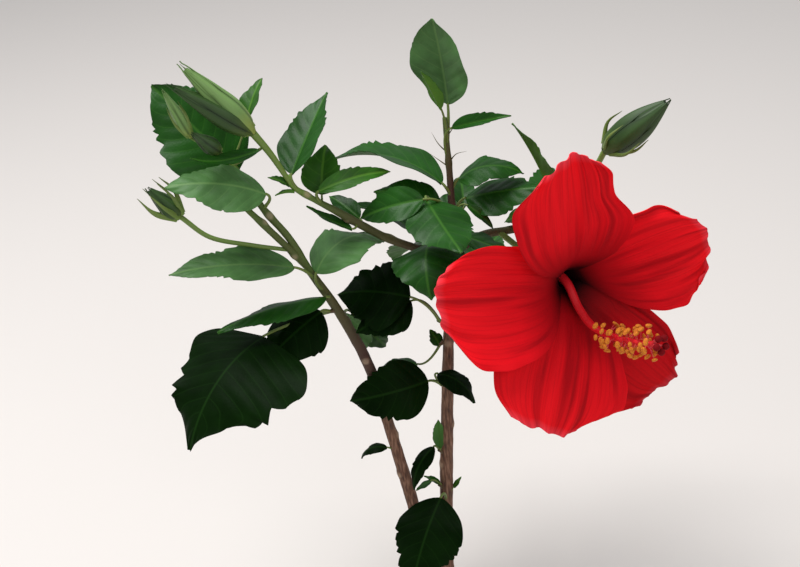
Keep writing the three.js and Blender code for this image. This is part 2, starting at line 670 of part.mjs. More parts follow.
// A point of the bloom at a height above its throat, a distance out from its axis and an azimuth in radians.
function bloomPoint(rise, reach, azimuth) {
  const point = bloom.throat.clone().addScaledVector(bloom.along, rise);
  point.addScaledVector(bloom.across, reach * Math.cos(azimuth));
  return point.addScaledVector(bloom.up, reach * Math.sin(azimuth));
}

// The funnel's slope at an azimuth, blended between the middles of the two petals beside it.
function slopeAt(azimuth) {
  const turn = (THREE.MathUtils.radToDeg(azimuth) - PETALS[0].azimuth + 720) % 360;
  const place = turn / (360 / PETALS.length);
  const i = Math.floor(place) % PETALS.length;
  const blend = (1 - Math.cos(Math.PI * (place - Math.floor(place)))) / 2;
  return THREE.MathUtils.lerp(PETALS[i].slope, PETALS[(i + 1) % PETALS.length].slope, blend);
}

// Height of the funnel above the throat.
function funnelRise(reach, azimuth) {
  const out = reach - THROAT_RADIUS;
  const fall = Math.max(0, reach - RECURVE_START) / (PETALS[1].reach - RECURVE_START);
  return PETAL_BELL * (1 - Math.exp(-out / BELL_RUN)) + slopeAt(azimuth) * out - PETAL_RECURVE * fall ** 2;
}

// Rows across a petal. Those of the claw stand in the tube, at a rise below the throat with their own half
// width. Those of the blade lie at a fraction out to the tip, with their half width or a fraction of the
// petal's own, and with the sag of their ends.
const CLAW_ROWS = [
  { rise: -TUBE_DEPTH, reach: 4.6, half: 2.5 },
  { rise: -TUBE_DEPTH / 2, reach: 5, half: 2.8 },
  { rise: 0, reach: THROAT_RADIUS, half: 3.2 },
];
const PETAL_ROWS = [
  { out: 0.08, half: 7, sag: 0 },
  { out: 0.2, width: 0.67, sag: 0 },
  { out: 0.36, width: 0.87, sag: 1 },
  { out: 0.54, width: 0.98, sag: 3 },
  { out: 0.71, width: 1, sag: 6.5 },
  { out: 0.87, width: 0.9, sag: 11 },
  { out: 1, width: 0.64, sag: 16 },
];
const PETAL_COLUMNS = [-1, -0.62, -0.22, 0.22, 0.62, 1];
const PINCH_START = 0.4; // fractions of a petal's reach between which its pinch sets in
const PINCH_END = 0.68;

// A closed plate of one thickness over a grid of points.
function plate(grid, thickness) {
  const near = (list, i) => list[Math.min(Math.max(i, 0), list.length - 1)];
  const rings = grid.map((row, r) => {
    const normals = row.map((_, c) => {
      const down = near(grid, r + 1)[c].clone().sub(near(grid, r - 1)[c]);
      const side = near(row, c + 1).clone().sub(near(row, c - 1));
      return down.cross(side).normalize();
    });
    const top = row.map((point, c) => point.clone().addScaledVector(normals[c], thickness / 2));
    const under = row.map((point, c) => point.clone().addScaledVector(normals[c], -thickness / 2));
    return [...top, ...under.reverse()];
  });
  return skin(rings);
}

// A petal: a narrow claw in the tube, then a blade that follows the funnel. Its edges lie over or under the
// petals beside it, and its margin is ruffled.
function petalSolid({ azimuth, reach, halves, rounds, lies, pinch }, order) {
  const middle = THREE.MathUtils.degToRad(azimuth);
  const placed = (rise, out, side) => {
    return bloomPoint(rise, Math.hypot(out, side), middle + Math.atan2(side, out));
  };
  const claw = CLAW_ROWS.map((row) => {
    return PETAL_COLUMNS.map((w) => placed(row.rise, row.reach, w * row.half));
  });
  const blade = PETAL_ROWS.map(({ out, half, width, sag }) => {
    return PETAL_COLUMNS.map((w) => {
      const hand = w < 0 ? 0 : 1;
      const narrowing = w < 0 ? pinch * THREE.MathUtils.smoothstep(out, PINCH_START, PINCH_END) : 0;
      const side = w * (half ?? width * halves[hand] * (1 - narrowing));
      const run = THROAT_RADIUS + out * (reach - THROAT_RADIUS) - sag * rounds[hand] * w ** 2;
      const distance = Math.hypot(run, side);
      const rise = funnelRise(distance, middle + Math.atan2(side, run));
      const ruffle = PETAL_RUFFLE * out * w ** 2 * Math.sin(9 * out + 2.4 * w + 2 * order);
      return placed(rise + PETAL_TILT * lies[hand] * Math.abs(side) + ruffle, run, side);
    });
  });
  return plate([...claw, ...blade], PETAL_THICKNESS);
}
PETALS.forEach((petal, order) => {
  addPiece(`petal_${order + 1}`, petalSolid(petal, order), PETAL_RED);
});

// The calyx is a cup with five pointed lobes and a crown of thin bracts, fused on the bloom's stalk.
const CUP_SIDES = 10;
const CUP_OUTSIDE = [
  [-TUBE_DEPTH - CUP_LENGTH, 1.4],
  [-TUBE_DEPTH - 0.85 * CUP_LENGTH, 3.4],
  [-TUBE_DEPTH - 0.55 * CUP_LENGTH, 6.4],
  [-TUBE_DEPTH - 0.1 * CUP_LENGTH, 7.6],
];
const CUP_WALL = 0.8;
const CUP_BORE = 6.6;
const LOBE = { tip: [-3, 9.6], notch: [-13, 7.8] };
const BRACT_COUNT = 7;
const BRACT_LINE = [
  [-33, 3],
  [-29, 8],
  [-22, 11],
  [-15, 12],
];
function addCalyx() {
  const azimuths = Array.from({ length: CUP_SIDES }, (_, i) => (2 * Math.PI * i) / CUP_SIDES);
  const ring = (rise, reach) => azimuths.map((azimuth) => bloomPoint(rise, reach, azimuth));
  const lip = (inwards) => {
    return azimuths.map((azimuth, i) => {
      const [rise, reach] = i % 2 ? LOBE.notch : LOBE.tip;
      return bloomPoint(rise, reach - inwards, azimuth);
    });
  };
  const outside = CUP_OUTSIDE.map(([rise, reach]) => ring(rise, reach));
  const cup = skin([...outside, lip(0), lip(CUP_WALL), ring(-TUBE_DEPTH - SEAM, CUP_BORE)]);
  const bracts = Array.from({ length: BRACT_COUNT }, (_, i) => {
    const azimuth = (2 * Math.PI * (i + 0.4)) / BRACT_COUNT;
    const line = BRACT_LINE.map(([rise, reach]) => bloomPoint(rise, reach, azimuth));
    return skin(bar(curveOf(line), (u) => 0.9 * (1.1 - u), 3, stations(0, 1, 3)));
  });
  const root = flowerShoot.curve.getPointAt(30 / flowerShoot.length);
  const foot = bloomPoint(-TUBE_DEPTH - CUP_LENGTH + 2, 0, 0);
  const bend = bloomPoint(-TUBE_DEPTH - CUP_LENGTH - 10, 0, 0);
  const stalk = twig([root, bend, foot], 1.8, 1.6, 6);
  addPiece("flower_calyx", fuse([cup, stalk, ...bracts]).subtract(aroundFlower), LEAF);
}
addCalyx();

// The staminal column springs from the bottom of the cup and droops out of the throat. Its outer part
// bristles with anthers on short filaments, and it ends in five stigmas.
const COLUMN_LINE = [
  [78.6, -45, 227.6],
  [83, -57, 218],
  [88, -69, 213],
  [96, -83, 213],
  [105, -95, 215],
  [114, -105, 218],
];
const ANTHER_START = 0.6; // fractions of the column's length between which it bears anthers
const ANTHER_END = 0.97;
function addColumn() {
  const start = bloomPoint(-TUBE_DEPTH, 0, 0);
  const curve = curveOf([start, ...COLUMN_LINE]);
  const radiusAt = (u) => COLUMN_RADIUS * (1 - 0.45 * u);
  const solids = [skin(bar(curve, radiusAt, 6, stations(0, 1, 8)))];
  const outward = (u, degrees) => {
    const tangent = curve.getTangentAt(u);
    const across = new THREE.Vector3(0, 0, 1).addScaledVector(tangent, -tangent.z).normalize();
    return { tangent, out: across.applyAxisAngle(tangent, THREE.MathUtils.degToRad(degrees)) };
  };
  for (let i = 0; i < ANTHER_COUNT; i++) {
    const u = THREE.MathUtils.lerp(ANTHER_START, ANTHER_END, i / (ANTHER_COUNT - 1));
    const { tangent, out } = outward(u, i * GOLDEN_ANGLE);
    const root = curve.getPointAt(u);
    const way = out.addScaledVector(tangent, 0.5);
    const tip = root.clone().addScaledVector(way, FILAMENT_LENGTH);
    const radiusAtTip = (v) => (v < 0.8 ? 0.35 : v < 1 ? ANTHER_RADIUS : 0.4);
    solids.push(skin(bar(curveOf([root, tip]), radiusAtTip, 4, [0, 0.76, 0.88, 1])));
  }
  for (let i = 0; i < STIGMA_COUNT; i++) {
    const { tangent, out } = outward(1, (360 * (i + 0.25)) / STIGMA_COUNT);
    const root = curve.getPointAt(1).addScaledVector(tangent, -1);
    const way = out.multiplyScalar(0.6).addScaledVector(tangent, 0.9);
    const tip = root.clone().addScaledVector(way, STIGMA_LENGTH);
    const headAt = (v) => (v < 0.8 ? 0.5 : v < 1 ? 1.2 * ANTHER_RADIUS : 0.5);
    solids.push(skin(bar(curveOf([root, tip]), headAt, 5, [0, 0.74, 0.87, 1])));
  }
  addPiece("staminal_column", fuse(solids), COLUMN_RED);
}
addColumn();

// Shoots that fill the back of the shrub. Leaves stand round each by the golden angle, in sizes from a seeded
// sequence. A leaf that would come too near a limb is left out.
const BACK_SHOOTS = [
  { name: "back_crown_leaves", limb: mainStem, at: 224, way: [120, 18], length: 36, count: 5, seed: 3 },
  { name: "back_middle_leaves", limb: mainStem, at: 172, way: [65, 22], length: 46, count: 6, seed: 11 },
  { name: "back_bloom_leaves", limb: flowerShoot, at: 40, way: [40, 0], length: 34, count: 5, seed: 7 },
];
const BACK_RADIUS = 1.7;
const LIMB_MARGIN = 4; // least distance from a leaf's middle line to the bark of a limb
const ALL_LIMBS = [mainStem, leftStem, budShoot, sideShoot, crossShoot, flowerShoot];

function sequence(seed) {
  let state = seed;
  return () => {
    state = (state * 1664525 + 1013904223) % 4294967296;
    return state / 4294967296;
  };
}

// Whether a blade's middle and tip keep their distance from every limb.
function isClear(base, [heading, lift, length]) {
  const along = direction(heading, lift - 15);
  return [0.3, 0.6, 1].every((t) => {
    const point = base.clone().addScaledVector(along, t * length);
    return ALL_LIMBS.every((limb) => {
      return stations(0, 1, 40).every((u) => {
        return limb.curve.getPointAt(u).distanceTo(point) > limb.radiusAt(u) + LIMB_MARGIN;
      });
    });
  });
}

function backLeaves(shoot, { way: [heading, lift], count, seed }) {
  const next = sequence(seed);
  const { along, up, right } = frameOf(heading, lift);
  const specs = [];
  for (let i = 0; i < count; i++) {
    const azimuth = THREE.MathUtils.degToRad(i * GOLDEN_ANGLE + 40);
    const lean = THREE.MathUtils.degToRad(i === count - 1 ? 8 : 58 - 4 * i);
    const length = 34 + 12 * next();
    const out = up.clone().multiplyScalar(Math.cos(azimuth)).addScaledVector(right, Math.sin(azimuth));
    const way = along.clone().multiplyScalar(Math.cos(lean)).addScaledVector(out, Math.sin(lean));
    const turn = THREE.MathUtils.radToDeg(Math.atan2(way.y, way.x));
    const rise = THREE.MathUtils.clamp(THREE.MathUtils.radToDeg(Math.asin(way.z)), -15, 45);
    const at = shoot.length * (0.42 + (0.56 * i) / (count - 1));
    const blade = [turn, rise, length, length * (0.52 + 0.14 * next())];
    const base = shoot.curve.getPointAt(at / shoot.length).addScaledVector(direction(turn, rise), 9);
    if (isClear(base, blade)) specs.push({ at, stalk: [turn, rise, 9], blade, droop: 38, fold: 12 });
  }
  return specs;
}

const LIMB_CUTS = new Map([
  [mainStem, clearOfMain],
  [flowerShoot, aroundFlower],
]);
BACK_SHOOTS.forEach((plan) => {
  const root = plan.limb.curve.getPointAt(plan.at / plan.limb.length);
  const way = direction(...plan.way);
  const middle = root.clone().addScaledVector(way, plan.length / 2).add(new THREE.Vector3(0, 0, -2));
  const tip = root.clone().addScaledVector(way, plan.length);
  const shoot = limbOf({ line: [root, middle, tip], radii: [BACK_RADIUS, BACK_RADIUS, 0.6 * BACK_RADIUS] });
  const solids = [stretch(shoot, 0, shoot.length, 6, 10)];
  backLeaves(shoot, plan).forEach((spec) => solids.push(leaf(shoot, spec)));
  addPiece(plan.name, fuse(solids).subtract(LIMB_CUTS.get(plan.limb)), LEAF);
});

export default shrub;
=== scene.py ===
import math

import bmesh
import bpy
import numpy as np
from mathutils import Matrix, Vector, noise


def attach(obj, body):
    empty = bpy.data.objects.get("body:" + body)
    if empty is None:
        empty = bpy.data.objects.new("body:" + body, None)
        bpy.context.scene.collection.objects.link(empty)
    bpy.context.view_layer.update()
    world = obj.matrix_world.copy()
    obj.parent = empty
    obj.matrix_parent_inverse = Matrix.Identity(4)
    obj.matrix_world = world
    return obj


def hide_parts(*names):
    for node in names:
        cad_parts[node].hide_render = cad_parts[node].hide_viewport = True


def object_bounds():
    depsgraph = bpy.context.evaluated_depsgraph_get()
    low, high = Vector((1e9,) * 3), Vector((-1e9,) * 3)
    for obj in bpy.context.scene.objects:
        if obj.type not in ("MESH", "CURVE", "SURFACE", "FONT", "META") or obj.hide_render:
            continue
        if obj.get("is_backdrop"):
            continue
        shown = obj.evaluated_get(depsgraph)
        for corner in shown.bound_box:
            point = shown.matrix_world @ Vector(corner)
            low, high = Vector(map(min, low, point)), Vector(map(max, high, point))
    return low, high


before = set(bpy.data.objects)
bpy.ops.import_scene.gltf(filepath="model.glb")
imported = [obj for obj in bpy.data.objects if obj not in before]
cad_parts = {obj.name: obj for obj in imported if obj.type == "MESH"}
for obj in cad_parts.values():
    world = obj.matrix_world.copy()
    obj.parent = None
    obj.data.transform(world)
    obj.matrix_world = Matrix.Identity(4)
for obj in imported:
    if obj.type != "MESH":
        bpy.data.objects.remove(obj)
cad_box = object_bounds()

# The camera looks down on the shrub from just above its crown and in front of it. Its lens is a short
# telephoto, and the picture is turned by the few degrees that the shrub leans in the view.
MM = 0.001
LENS = 72.86
CAMERA_PLACE = (-9.0, -812.9, 610.0)
VIEW_RIGHT = (0.99463, -0.04524, -0.09308)
VIEW_UP = (0.10349, 0.43477, 0.89458)
VIEW_BACK = (0.0, -0.89941, 0.43712)
camera = bpy.data.objects.new("camera", bpy.data.cameras.new("camera"))
camera.data.sensor_width = 36
camera.data.lens = LENS
view = Matrix((VIEW_RIGHT, VIEW_UP, VIEW_BACK)).transposed()
camera.matrix_world = Matrix.Translation(Vector(CAMERA_PLACE) * MM) @ view.to_4x4()
bpy.context.scene.collection.objects.link(camera)
bpy.context.scene.camera = camera
bpy.context.scene.view_settings.view_transform = "Standard"


# The shrub stands on a plain pale floor of matt plaster, cast flat and left unpolished. A broad soft lamp
# overhead gives soft shade under the leaves and a pale sheen on their tops, and a weaker one fills the front.
def linear(colour):
    shares = [int(colour[i : i + 2], 16) / 255 for i in (1, 3, 5)]
    return [s / 12.92 if s <= 0.04045 else ((s + 0.055) / 1.055) ** 2.4 for s in shares] + [1.0]


def new_material(name, finish):
    """A material, its node tree and its surface, with the surface's sockets set to the finish."""
    material = bpy.data.materials.new(name)
    material.use_nodes = True
    surface = material.node_tree.nodes["Principled BSDF"]
    for socket, value in finish.items():
        surface.inputs[socket].default_value = value
    return material, material.node_tree, surface


def add_node(tree, kind, settings, links):
    """A shader node with its settings, and its inputs linked to a socket or to the first output of a node."""
    made = tree.nodes.new("ShaderNode" + kind)
    for name, value in settings.items():
        if name == "stops":
            elements = made.color_ramp.elements
            elements[0].position, elements[1].position = value[0][0], value[-1][0]
            for position, _ in value[1:-1]:
                elements.new(position)
            for element, (_, colour) in zip(elements, value):
                element.color = linear(colour)
        elif isinstance(name, str) and hasattr(made, name):
            setattr(made, name, value)
        else:
            made.inputs[name].default_value = value
    for name, source in links.items():
        tree.links.new(getattr(source, "outputs", [source])[0], made.inputs[name])
    return made


FLOOR_HALF = 6.0
floor_mesh = bpy.data.meshes.new("floor")
corners = [(x * FLOOR_HALF, y * FLOOR_HALF, 0) for x, y in ((-1, -1), (1, -1), (1, 1), (-1, 1))]
floor_mesh.from_pydata(corners, [], [(0, 1, 2, 3)])
floor = bpy.data.objects.new("floor", floor_mesh)
bpy.context.scene.collection.objects.link(floor)
plaster = new_material("cast_plaster", {"Base Color": linear("#dad4cf"), "Roughness": 0.9})[0]
floor_mesh.materials.append(plaster)
floor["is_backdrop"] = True

SKY_COLOUR = "#eef1f6"
SKY_STRENGTH = 0.46
LAMP_AIM = (0, 0, 0.2)
world = bpy.data.worlds.new("studio")
world.use_nodes = True
world.node_tree.nodes["Background"].inputs["Color"].default_value = linear(SKY_COLOUR)
world.node_tree.nodes["Background"].inputs["Strength"].default_value = SKY_STRENGTH
bpy.context.scene.world = world
for name, place, side, power in (
    ("overhead", (-0.5, 0.1, 1.7), 1.1, 32.0),
    ("front", (0.7, -1.5, 1.0), 1.0, 7.0),
):
    lamp = bpy.data.objects.new(name, bpy.data.lights.new(name, "AREA"))
    lamp.data.size = side
    lamp.data.energy = power
    lamp.location = place
    lamp.rotation_mode = "QUATERNION"
    lamp.rotation_quaternion = (Vector(place) - Vector(LAMP_AIM)).to_track_quat("Z", "Y")
    bpy.context.scene.collection.objects.link(lamp)


# The woody limbs: two stems that fork at the soil and the shoots that they carry. They grew as one plant,
# brown and corky low down, dark red-brown higher up and green where they are this year's wood.
LIMBS = {  # mm from root to tip, with the radius and the greenness (0 old wood, 1 soft tip) at each point
    "main_stem": {
        "line": [(0, 0, 0), (5, 0, 66), (9, 0, 112), (14, 0, 165), (18, 1, 203), (23, 2, 246), (24, 4, 277),
                 (24, 5, 308)],
        "radii": [4.3, 3.9, 3.9, 3.6, 3.1, 2.4, 1.9, 1.3],
        "green": [0, 0, 0, 0, 0, 0.05, 0.12, 0.7],
    },
    "left_stem": {
        "line": [(0, 0, 3), (-8, -1, 18), (-15, -4, 72), (-22, -6, 117), (-31, -8, 168), (-44, -11, 206),
                 (-57, -15, 235)],
        "radii": [3.6, 3.7, 3.6, 3.3, 3.1, 2.8, 2.2],
        "green": [0, 0, 0, 0, 0.06, 0.35, 0.6],
    },
    "bud_shoot": {
        "line": [(-57, -15, 235), (-66, -18, 258), (-77, -17, 275), (-87, -11, 293), (-93, -8, 303)],
        "radii": [2.1, 2.0, 1.9, 1.7, 1.4],
        "green": [0.75, 0.7, 0.7, 0.8, 1],
    },
    "side_shoot": {
        "line": [(-57, -15, 236), (-67, -20, 253), (-79, -24, 271), (-89, -20, 282)],
        "radii": [1.8, 1.9, 1.8, 1.4],
        "green": [0.75, 0.6, 0.7, 0.9],
    },
    "cross_shoot": {
        "line": [(20, 1, 221), (4, -2, 235), (-15, -6, 247), (-38, -10, 266), (-59, -12, 283),
                 (-62, -12, 291)],
        "radii": [2.1, 2.1, 2.2, 2.3, 1.6, 1.5],
        "green": [0.1, 0.25, 0.5, 0.5, 0.8, 1],
    },
    "flower_shoot": {
        "line": [(21, 2, 228), (38, 4, 237), (55, 6, 238), (72, 8, 240), (89, 8, 248), (100, 4, 264)],
        "radii": [2.2, 2.3, 2.2, 2.0, 1.7, 1.5],
        "green": [0.1, 0.3, 0.5, 0.7, 0.9, 1],
    },
}
GOLDEN_ANGLE = math.radians(137.5)
BARK_RING = 1.3  # mm between the rings of a limb's mesh
BARK_SIDES = 28
FLARE = {"radius": 3.2, "height": 9, "ridges": 4, "depth": 0.35}
FIRST_KNOT = 14
KNOT_SPACING = 27  # mm between the scars of fallen leaves
KNOT_HEIGHT = 0.75
KNOT_LENGTH = 2.6
FISSURE_DEPTH = 0.22
FISSURE_LENGTH = 7
FISSURES_ROUND = 2.6
FINE_FISSURES = 2.3  # how much closer the second set stands
SHARP_ANGLE = math.radians(60)


class Line:
    """A smooth line through points, measured along its length as a fraction of it."""

    DIVISIONS = 200

    def __init__(self, points):
        self.ends = np.array(points, float)
        first, last = 2 * self.ends[0] - self.ends[1], 2 * self.ends[-1] - self.ends[-2]
        self.padded = np.vstack([first, self.ends, last])
        self.steps = np.linspace(0, 1, self.DIVISIONS + 1)
        walked = np.array([self.at(step) for step in self.steps])
        self.run = np.concatenate([[0], np.cumsum(np.linalg.norm(np.diff(walked, axis=0), axis=1))])
        self.length = self.run[-1]

    def at(self, step):
        place = step * (len(self.ends) - 1)
        i = min(int(place), len(self.ends) - 2)
        w = place - i
        before, start, end, after = self.padded[i : i + 4]
        out, back = (end - before) / 2, (after - start) / 2
        bend = -3 * start + 3 * end - 2 * out - back
        return start + out * w + bend * w**2 + (2 * start - 2 * end + out + back) * w**3

    def point(self, u):
        return self.at(np.interp(u * self.length, self.run, self.steps))

    def tangent(self, u):
        step = np.interp(u * self.length, self.run, self.steps)
        return unit(self.at(min(1, step + 1e-4)) - self.at(max(0, step - 1e-4)))


class Heap:
    """The points, faces and marks of one piece while it is being made, in millimetres."""

    def __init__(self):
        self.points, self.marks, self.faces, self.slots = [], [], [], []
        self.count = 0

    def add(self, points, faces, marks, slot=0):
        points = np.asarray(points, float).reshape(-1, 3)
        self.points.append(points)
        self.marks.append(np.broadcast_to(np.asarray(marks, float).reshape(-1, 3), points.shape))
        for group in faces:
            self.faces += (np.asarray(group) + self.count).tolist()
            self.slots += [slot] * len(group)
        self.count += len(points)


def unit(vector):
    return vector / np.linalg.norm(vector)


def between(first, second, angle):
    """The direction that lies at an angle from the first towards the second."""
    return first * math.cos(angle) + second * math.sin(angle)


def turns(count, start=0.0):
    return [2 * math.pi * (i + start) / count for i in range(count)]


def spread_along(values, u):
    """The value at u of numbers that stand evenly along a limb."""
    return np.interp(u * (len(values) - 1), range(len(values)), values)


def tube_faces(rings, sides):
    """Faces of a tube with both ends closed."""
    r, i = np.meshgrid(np.arange(rings - 1), np.arange(sides), indexing="ij")
    a, b = (r * sides + i).ravel(), (r * sides + (i + 1) % sides).ravel()
    walls = np.stack([a, b, b + sides, a + sides], axis=1)
    ends = np.array([np.arange(sides)[::-1], np.arange(sides) + (rings - 1) * sides])
    return [walls, ends]


def add_tube(heap, line, radius_at, sides, rings, mark_at, end=1.0):
    """A round bar along a line. radius_at and mark_at take the place along it and the angle round it."""
    across = np.array([0, 0, 1.0]) if abs(line.tangent(0)[2]) < 0.9 else np.array([1.0, 0, 0])
    points, marks = [], []
    for u in np.linspace(0, end, rings):
        tangent = line.tangent(u)
        across = unit(across - tangent * across.dot(tangent))
        over = np.cross(tangent, across)
        for angle in turns(sides):
            points.append(line.point(u) + between(across, over, angle) * radius_at(u, angle))
            marks.append(mark_at(u, angle))
    heap.add(points, tube_faces(rings, sides), marks)


def make_piece(name, heap, materials, nodes=()):
    """Turns a heap into a mesh that rides on the plant and stands for its CAD nodes."""
    mesh = bpy.data.meshes.new(name)
    mesh.from_pydata((np.vstack(heap.points) * MM).tolist(), [], heap.faces)
    marks = mesh.attributes.new("marks", "FLOAT_VECTOR", "POINT")
    marks.data.foreach_set("vector", np.vstack(heap.marks).ravel())
    for material in materials:
        mesh.materials.append(material)
    mesh.polygons.foreach_set("material_index", heap.slots)
    work = bmesh.new()
    work.from_mesh(mesh)
    bmesh.ops.recalc_face_normals(work, faces=work.faces)
    work.to_mesh(mesh)
    work.free()
    mesh.shade_smooth()
    mesh.set_sharp_from_angle(angle=SHARP_ANGLE)
    piece = bpy.data.objects.new(name, mesh)
    bpy.context.scene.collection.objects.link(piece)
    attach(piece, "root")
    if nodes:
        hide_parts(*nodes)


# Living bark: cork that splits lengthwise as the wood swells, over green rind at the tips, with pale scars
# where leaves have fallen, and matt all over. The marks give the place along, the relief and the greenness.
bark, tree, surface = new_material("corky_bark", {"Roughness": 0.72})
marks = add_node(tree, "Attribute", {"attribute_name": "marks"}, {})
split = add_node(tree, "SeparateXYZ", {}, {0: marks.outputs["Vector"]})
place = add_node(tree, "TexCoord", {}, {}).outputs["Object"]
stretched = add_node(tree, "Mapping", {"Scale": (900.0, 900.0, 140.0)}, {"Vector": place})
fibres = add_node(tree, "TexNoise", {"Scale": 1.0, "Detail": 5.0}, {"Vector": stretched})
CORK_STOPS = [(0.28, "#33201a"), (0.5, "#684632"), (0.72, "#94705a")]
cork = add_node(tree, "ValToRGB", {"stops": CORK_STOPS}, {0: fibres})
RIND_STOPS = [(0.0, "#523a2c"), (0.2, "#442c20"), (0.45, "#4e4c28"), (0.75, "#4f6228"), (1.0, "#6a8a34")]
rind = add_node(tree, "ValToRGB", {"stops": RIND_STOPS}, {0: split.outputs["Z"]})
youth = add_node(tree, "MapRange", {"From Min": 0.0, "From Max": 0.09}, {"Value": split.outputs["Z"]})
ground = add_node(tree, "Mix", {"data_type": "RGBA"}, {0: youth, 6: cork, 7: rind})
span = {"From Min": 0.35, "From Max": 0.8, "To Max": 0.4}
scar = add_node(tree, "MapRange", span, {"Value": split.outputs["Y"]})
scarred = add_node(tree, "Mix", {"data_type": "RGBA", 7: linear("#c2ab8e")}, {0: scar, 6: ground.outputs[2]})
relief = add_node(tree, "Bump", {"Strength": 0.5, "Distance": 0.0006}, {"Height": fibres})
tree.links.new(scarred.outputs[2], surface.inputs["Base Color"])
tree.links.new(relief.outputs["Normal"], surface.inputs["Normal"])


def grow_limb(name, facts):
    """One limb with fissures, leaf scars and, on the main stem, the flare of the roots."""
    line = facts["axis"]
    length = line.length
    knot_count = int(length / KNOT_SPACING)
    knots = [(FIRST_KNOT + k * KNOT_SPACING, k * GOLDEN_ANGLE + len(name)) for k in range(knot_count)]

    def scar_at(u, angle):
        height = 0.0
        for at, turn in knots:
            along = (u * length - at) / KNOT_LENGTH
            if abs(along) < 3:
                around = 2 * math.sin((angle - turn) / 2) * spread_along(facts["radii"], u) / KNOT_LENGTH
                height = max(height, math.exp(-(along**2) - around**2))
        return height

    def radius_at(u, angle):
        radius = spread_along(facts["radii"], u)
        if name == "main_stem":
            swell = FLARE["radius"] * math.exp(-u * length / FLARE["height"])
            radius += swell * (1 + FLARE["depth"] * math.cos(FLARE["ridges"] * angle))
        x, y = math.cos(angle) * FISSURES_ROUND, math.sin(angle) * FISSURES_ROUND
        spot = Vector((x, y, u * length / FISSURE_LENGTH))
        fissure = noise.noise(spot) + 0.5 * noise.noise(spot * FINE_FISSURES)
        woody = 1 - spread_along(facts["green"], u)
        return radius + fissure * FISSURE_DEPTH * (0.3 + woody) + KNOT_HEIGHT * scar_at(u, angle)

    def mark_at(u, angle):
        return (u, scar_at(u, angle), spread_along(facts["green"], u))

    heap = Heap()
    add_tube(heap, line, radius_at, BARK_SIDES, int(length / BARK_RING), mark_at)
    if name == "main_stem":
        heap.points[0][:BARK_SIDES, 2] = 0
    return heap


for name, facts in LIMBS.items():
    facts["axis"] = Line(facts["line"])
    make_piece(name + "_bark", grow_limb(name, facts), [bark], [name])

# The leaves: thin glossy blades with a folded midrib, side veins sunk between raised quilts, and saw teeth on
# the outer part of the margin. They grow singly round a shoot, each on its stalk. Millimetres and degrees.
LEAF_THICKNESS = 0.32
BLADE_ROW = 1.1  # mm between the rows of a blade's mesh
VEIN_SPACING = 8.0  # mm between side veins
VEIN_RISE = 0.3
QUILT_HEIGHT = 0.5
MIDRIB_DEPTH = 0.45
MIDRIB_WIDTH = 1.1
RIB_HEIGHT = 0.7  # of the midrib on the underside
RIB_WIDTH = 0.75
RUFFLE = 0.03
RUFFLE_WAVES = 2.2
TOOTH_DEPTH = 0.16
TOOTH_PITCH = 5.0
TOOTH_START = 0.36
TOOTH_HOOK = 0.5
STALK_BEND = 0.35
STALK_FLUSH = 0.25
# Outlines of two broad leaves: how wide the left and the right side are, as shares of the length.
OUTLINE_PLACES = [0, 0.05, 0.2, 0.4, 0.57, 0.64, 0.72, 0.8, 0.89, 1]
BROAD_OUTLINE = [
    [0.02, 0.42, 0.6, 0.63, 0.59, 0.5, 0.28, 0.2, 0.09, 0.02],
    [0.02, 0.4, 0.49, 0.44, 0.38, 0.35, 0.32, 0.22, 0.13, 0.02],
]
CROWN_OUTLINE = [
    [0.02, 0.09, 0.25, 0.35, 0.36, 0.34, 0.3, 0.24, 0.16, 0.02],
    [0.02, 0.12, 0.31, 0.38, 0.37, 0.34, 0.3, 0.24, 0.16, 0.02],
]


def direction(heading, lift):
    h, e = math.radians(heading), math.radians(lift)
    return np.array([math.cos(e) * math.cos(h), math.cos(e) * math.sin(h), math.sin(e)])


def frame_of(heading, lift, roll=0.0):
    """A direction, the side that faces up from it turned by roll, and the side to its right."""
    along, above = direction(heading, lift), direction(heading, lift + 90)
    above = between(above, np.cross(along, above), math.radians(roll))
    return along, above, np.cross(along, above)


def add_sheet(heap, top, under, marks, slot=0, under_slot=0):
    """A thin closed sheet, from a grid of points for its top, one for its underside and the marks of both."""
    rows, columns = top.shape[:2]
    grid = np.arange(rows * columns).reshape(rows, columns)
    upper = np.stack([grid[:-1, :-1], grid[:-1, 1:], grid[1:, 1:], grid[1:, :-1]], axis=-1).reshape(-1, 4)
    lower = upper[:, ::-1] + rows * columns
    ring = np.concatenate([grid[0], grid[1:, -1], grid[-1, -2::-1], grid[-2:0:-1, 0]])
    after = np.roll(ring, -1)
    edge = np.stack([after, ring, ring + rows * columns, after + rows * columns], axis=1)
    points = np.concatenate([top.reshape(-1, 3), under.reshape(-1, 3)])
    marks = np.reshape(marks, (-1, 3))
    heap.add(points, [upper, edge], np.concatenate([marks, marks]), slot)
    heap.faces += (lower + heap.count - len(points)).tolist()
    heap.slots += [under_slot] * len(lower)


def smooth_step(x, low, high):
    t = np.clip((x - low) / (high - low), 0, 1)
    return t * t * (3 - 2 * t)


def curve_through(places, values, at):
    """A smooth curve through values at their places, read at other places."""
    line = Line([(place * 100, value * 100, 0) for place, value in zip(places, values)])
    walked = np.array([line.at(step) for step in np.linspace(0, 1, 400)]) / 100
    return np.interp(at, walked[:, 0], walked[:, 1])


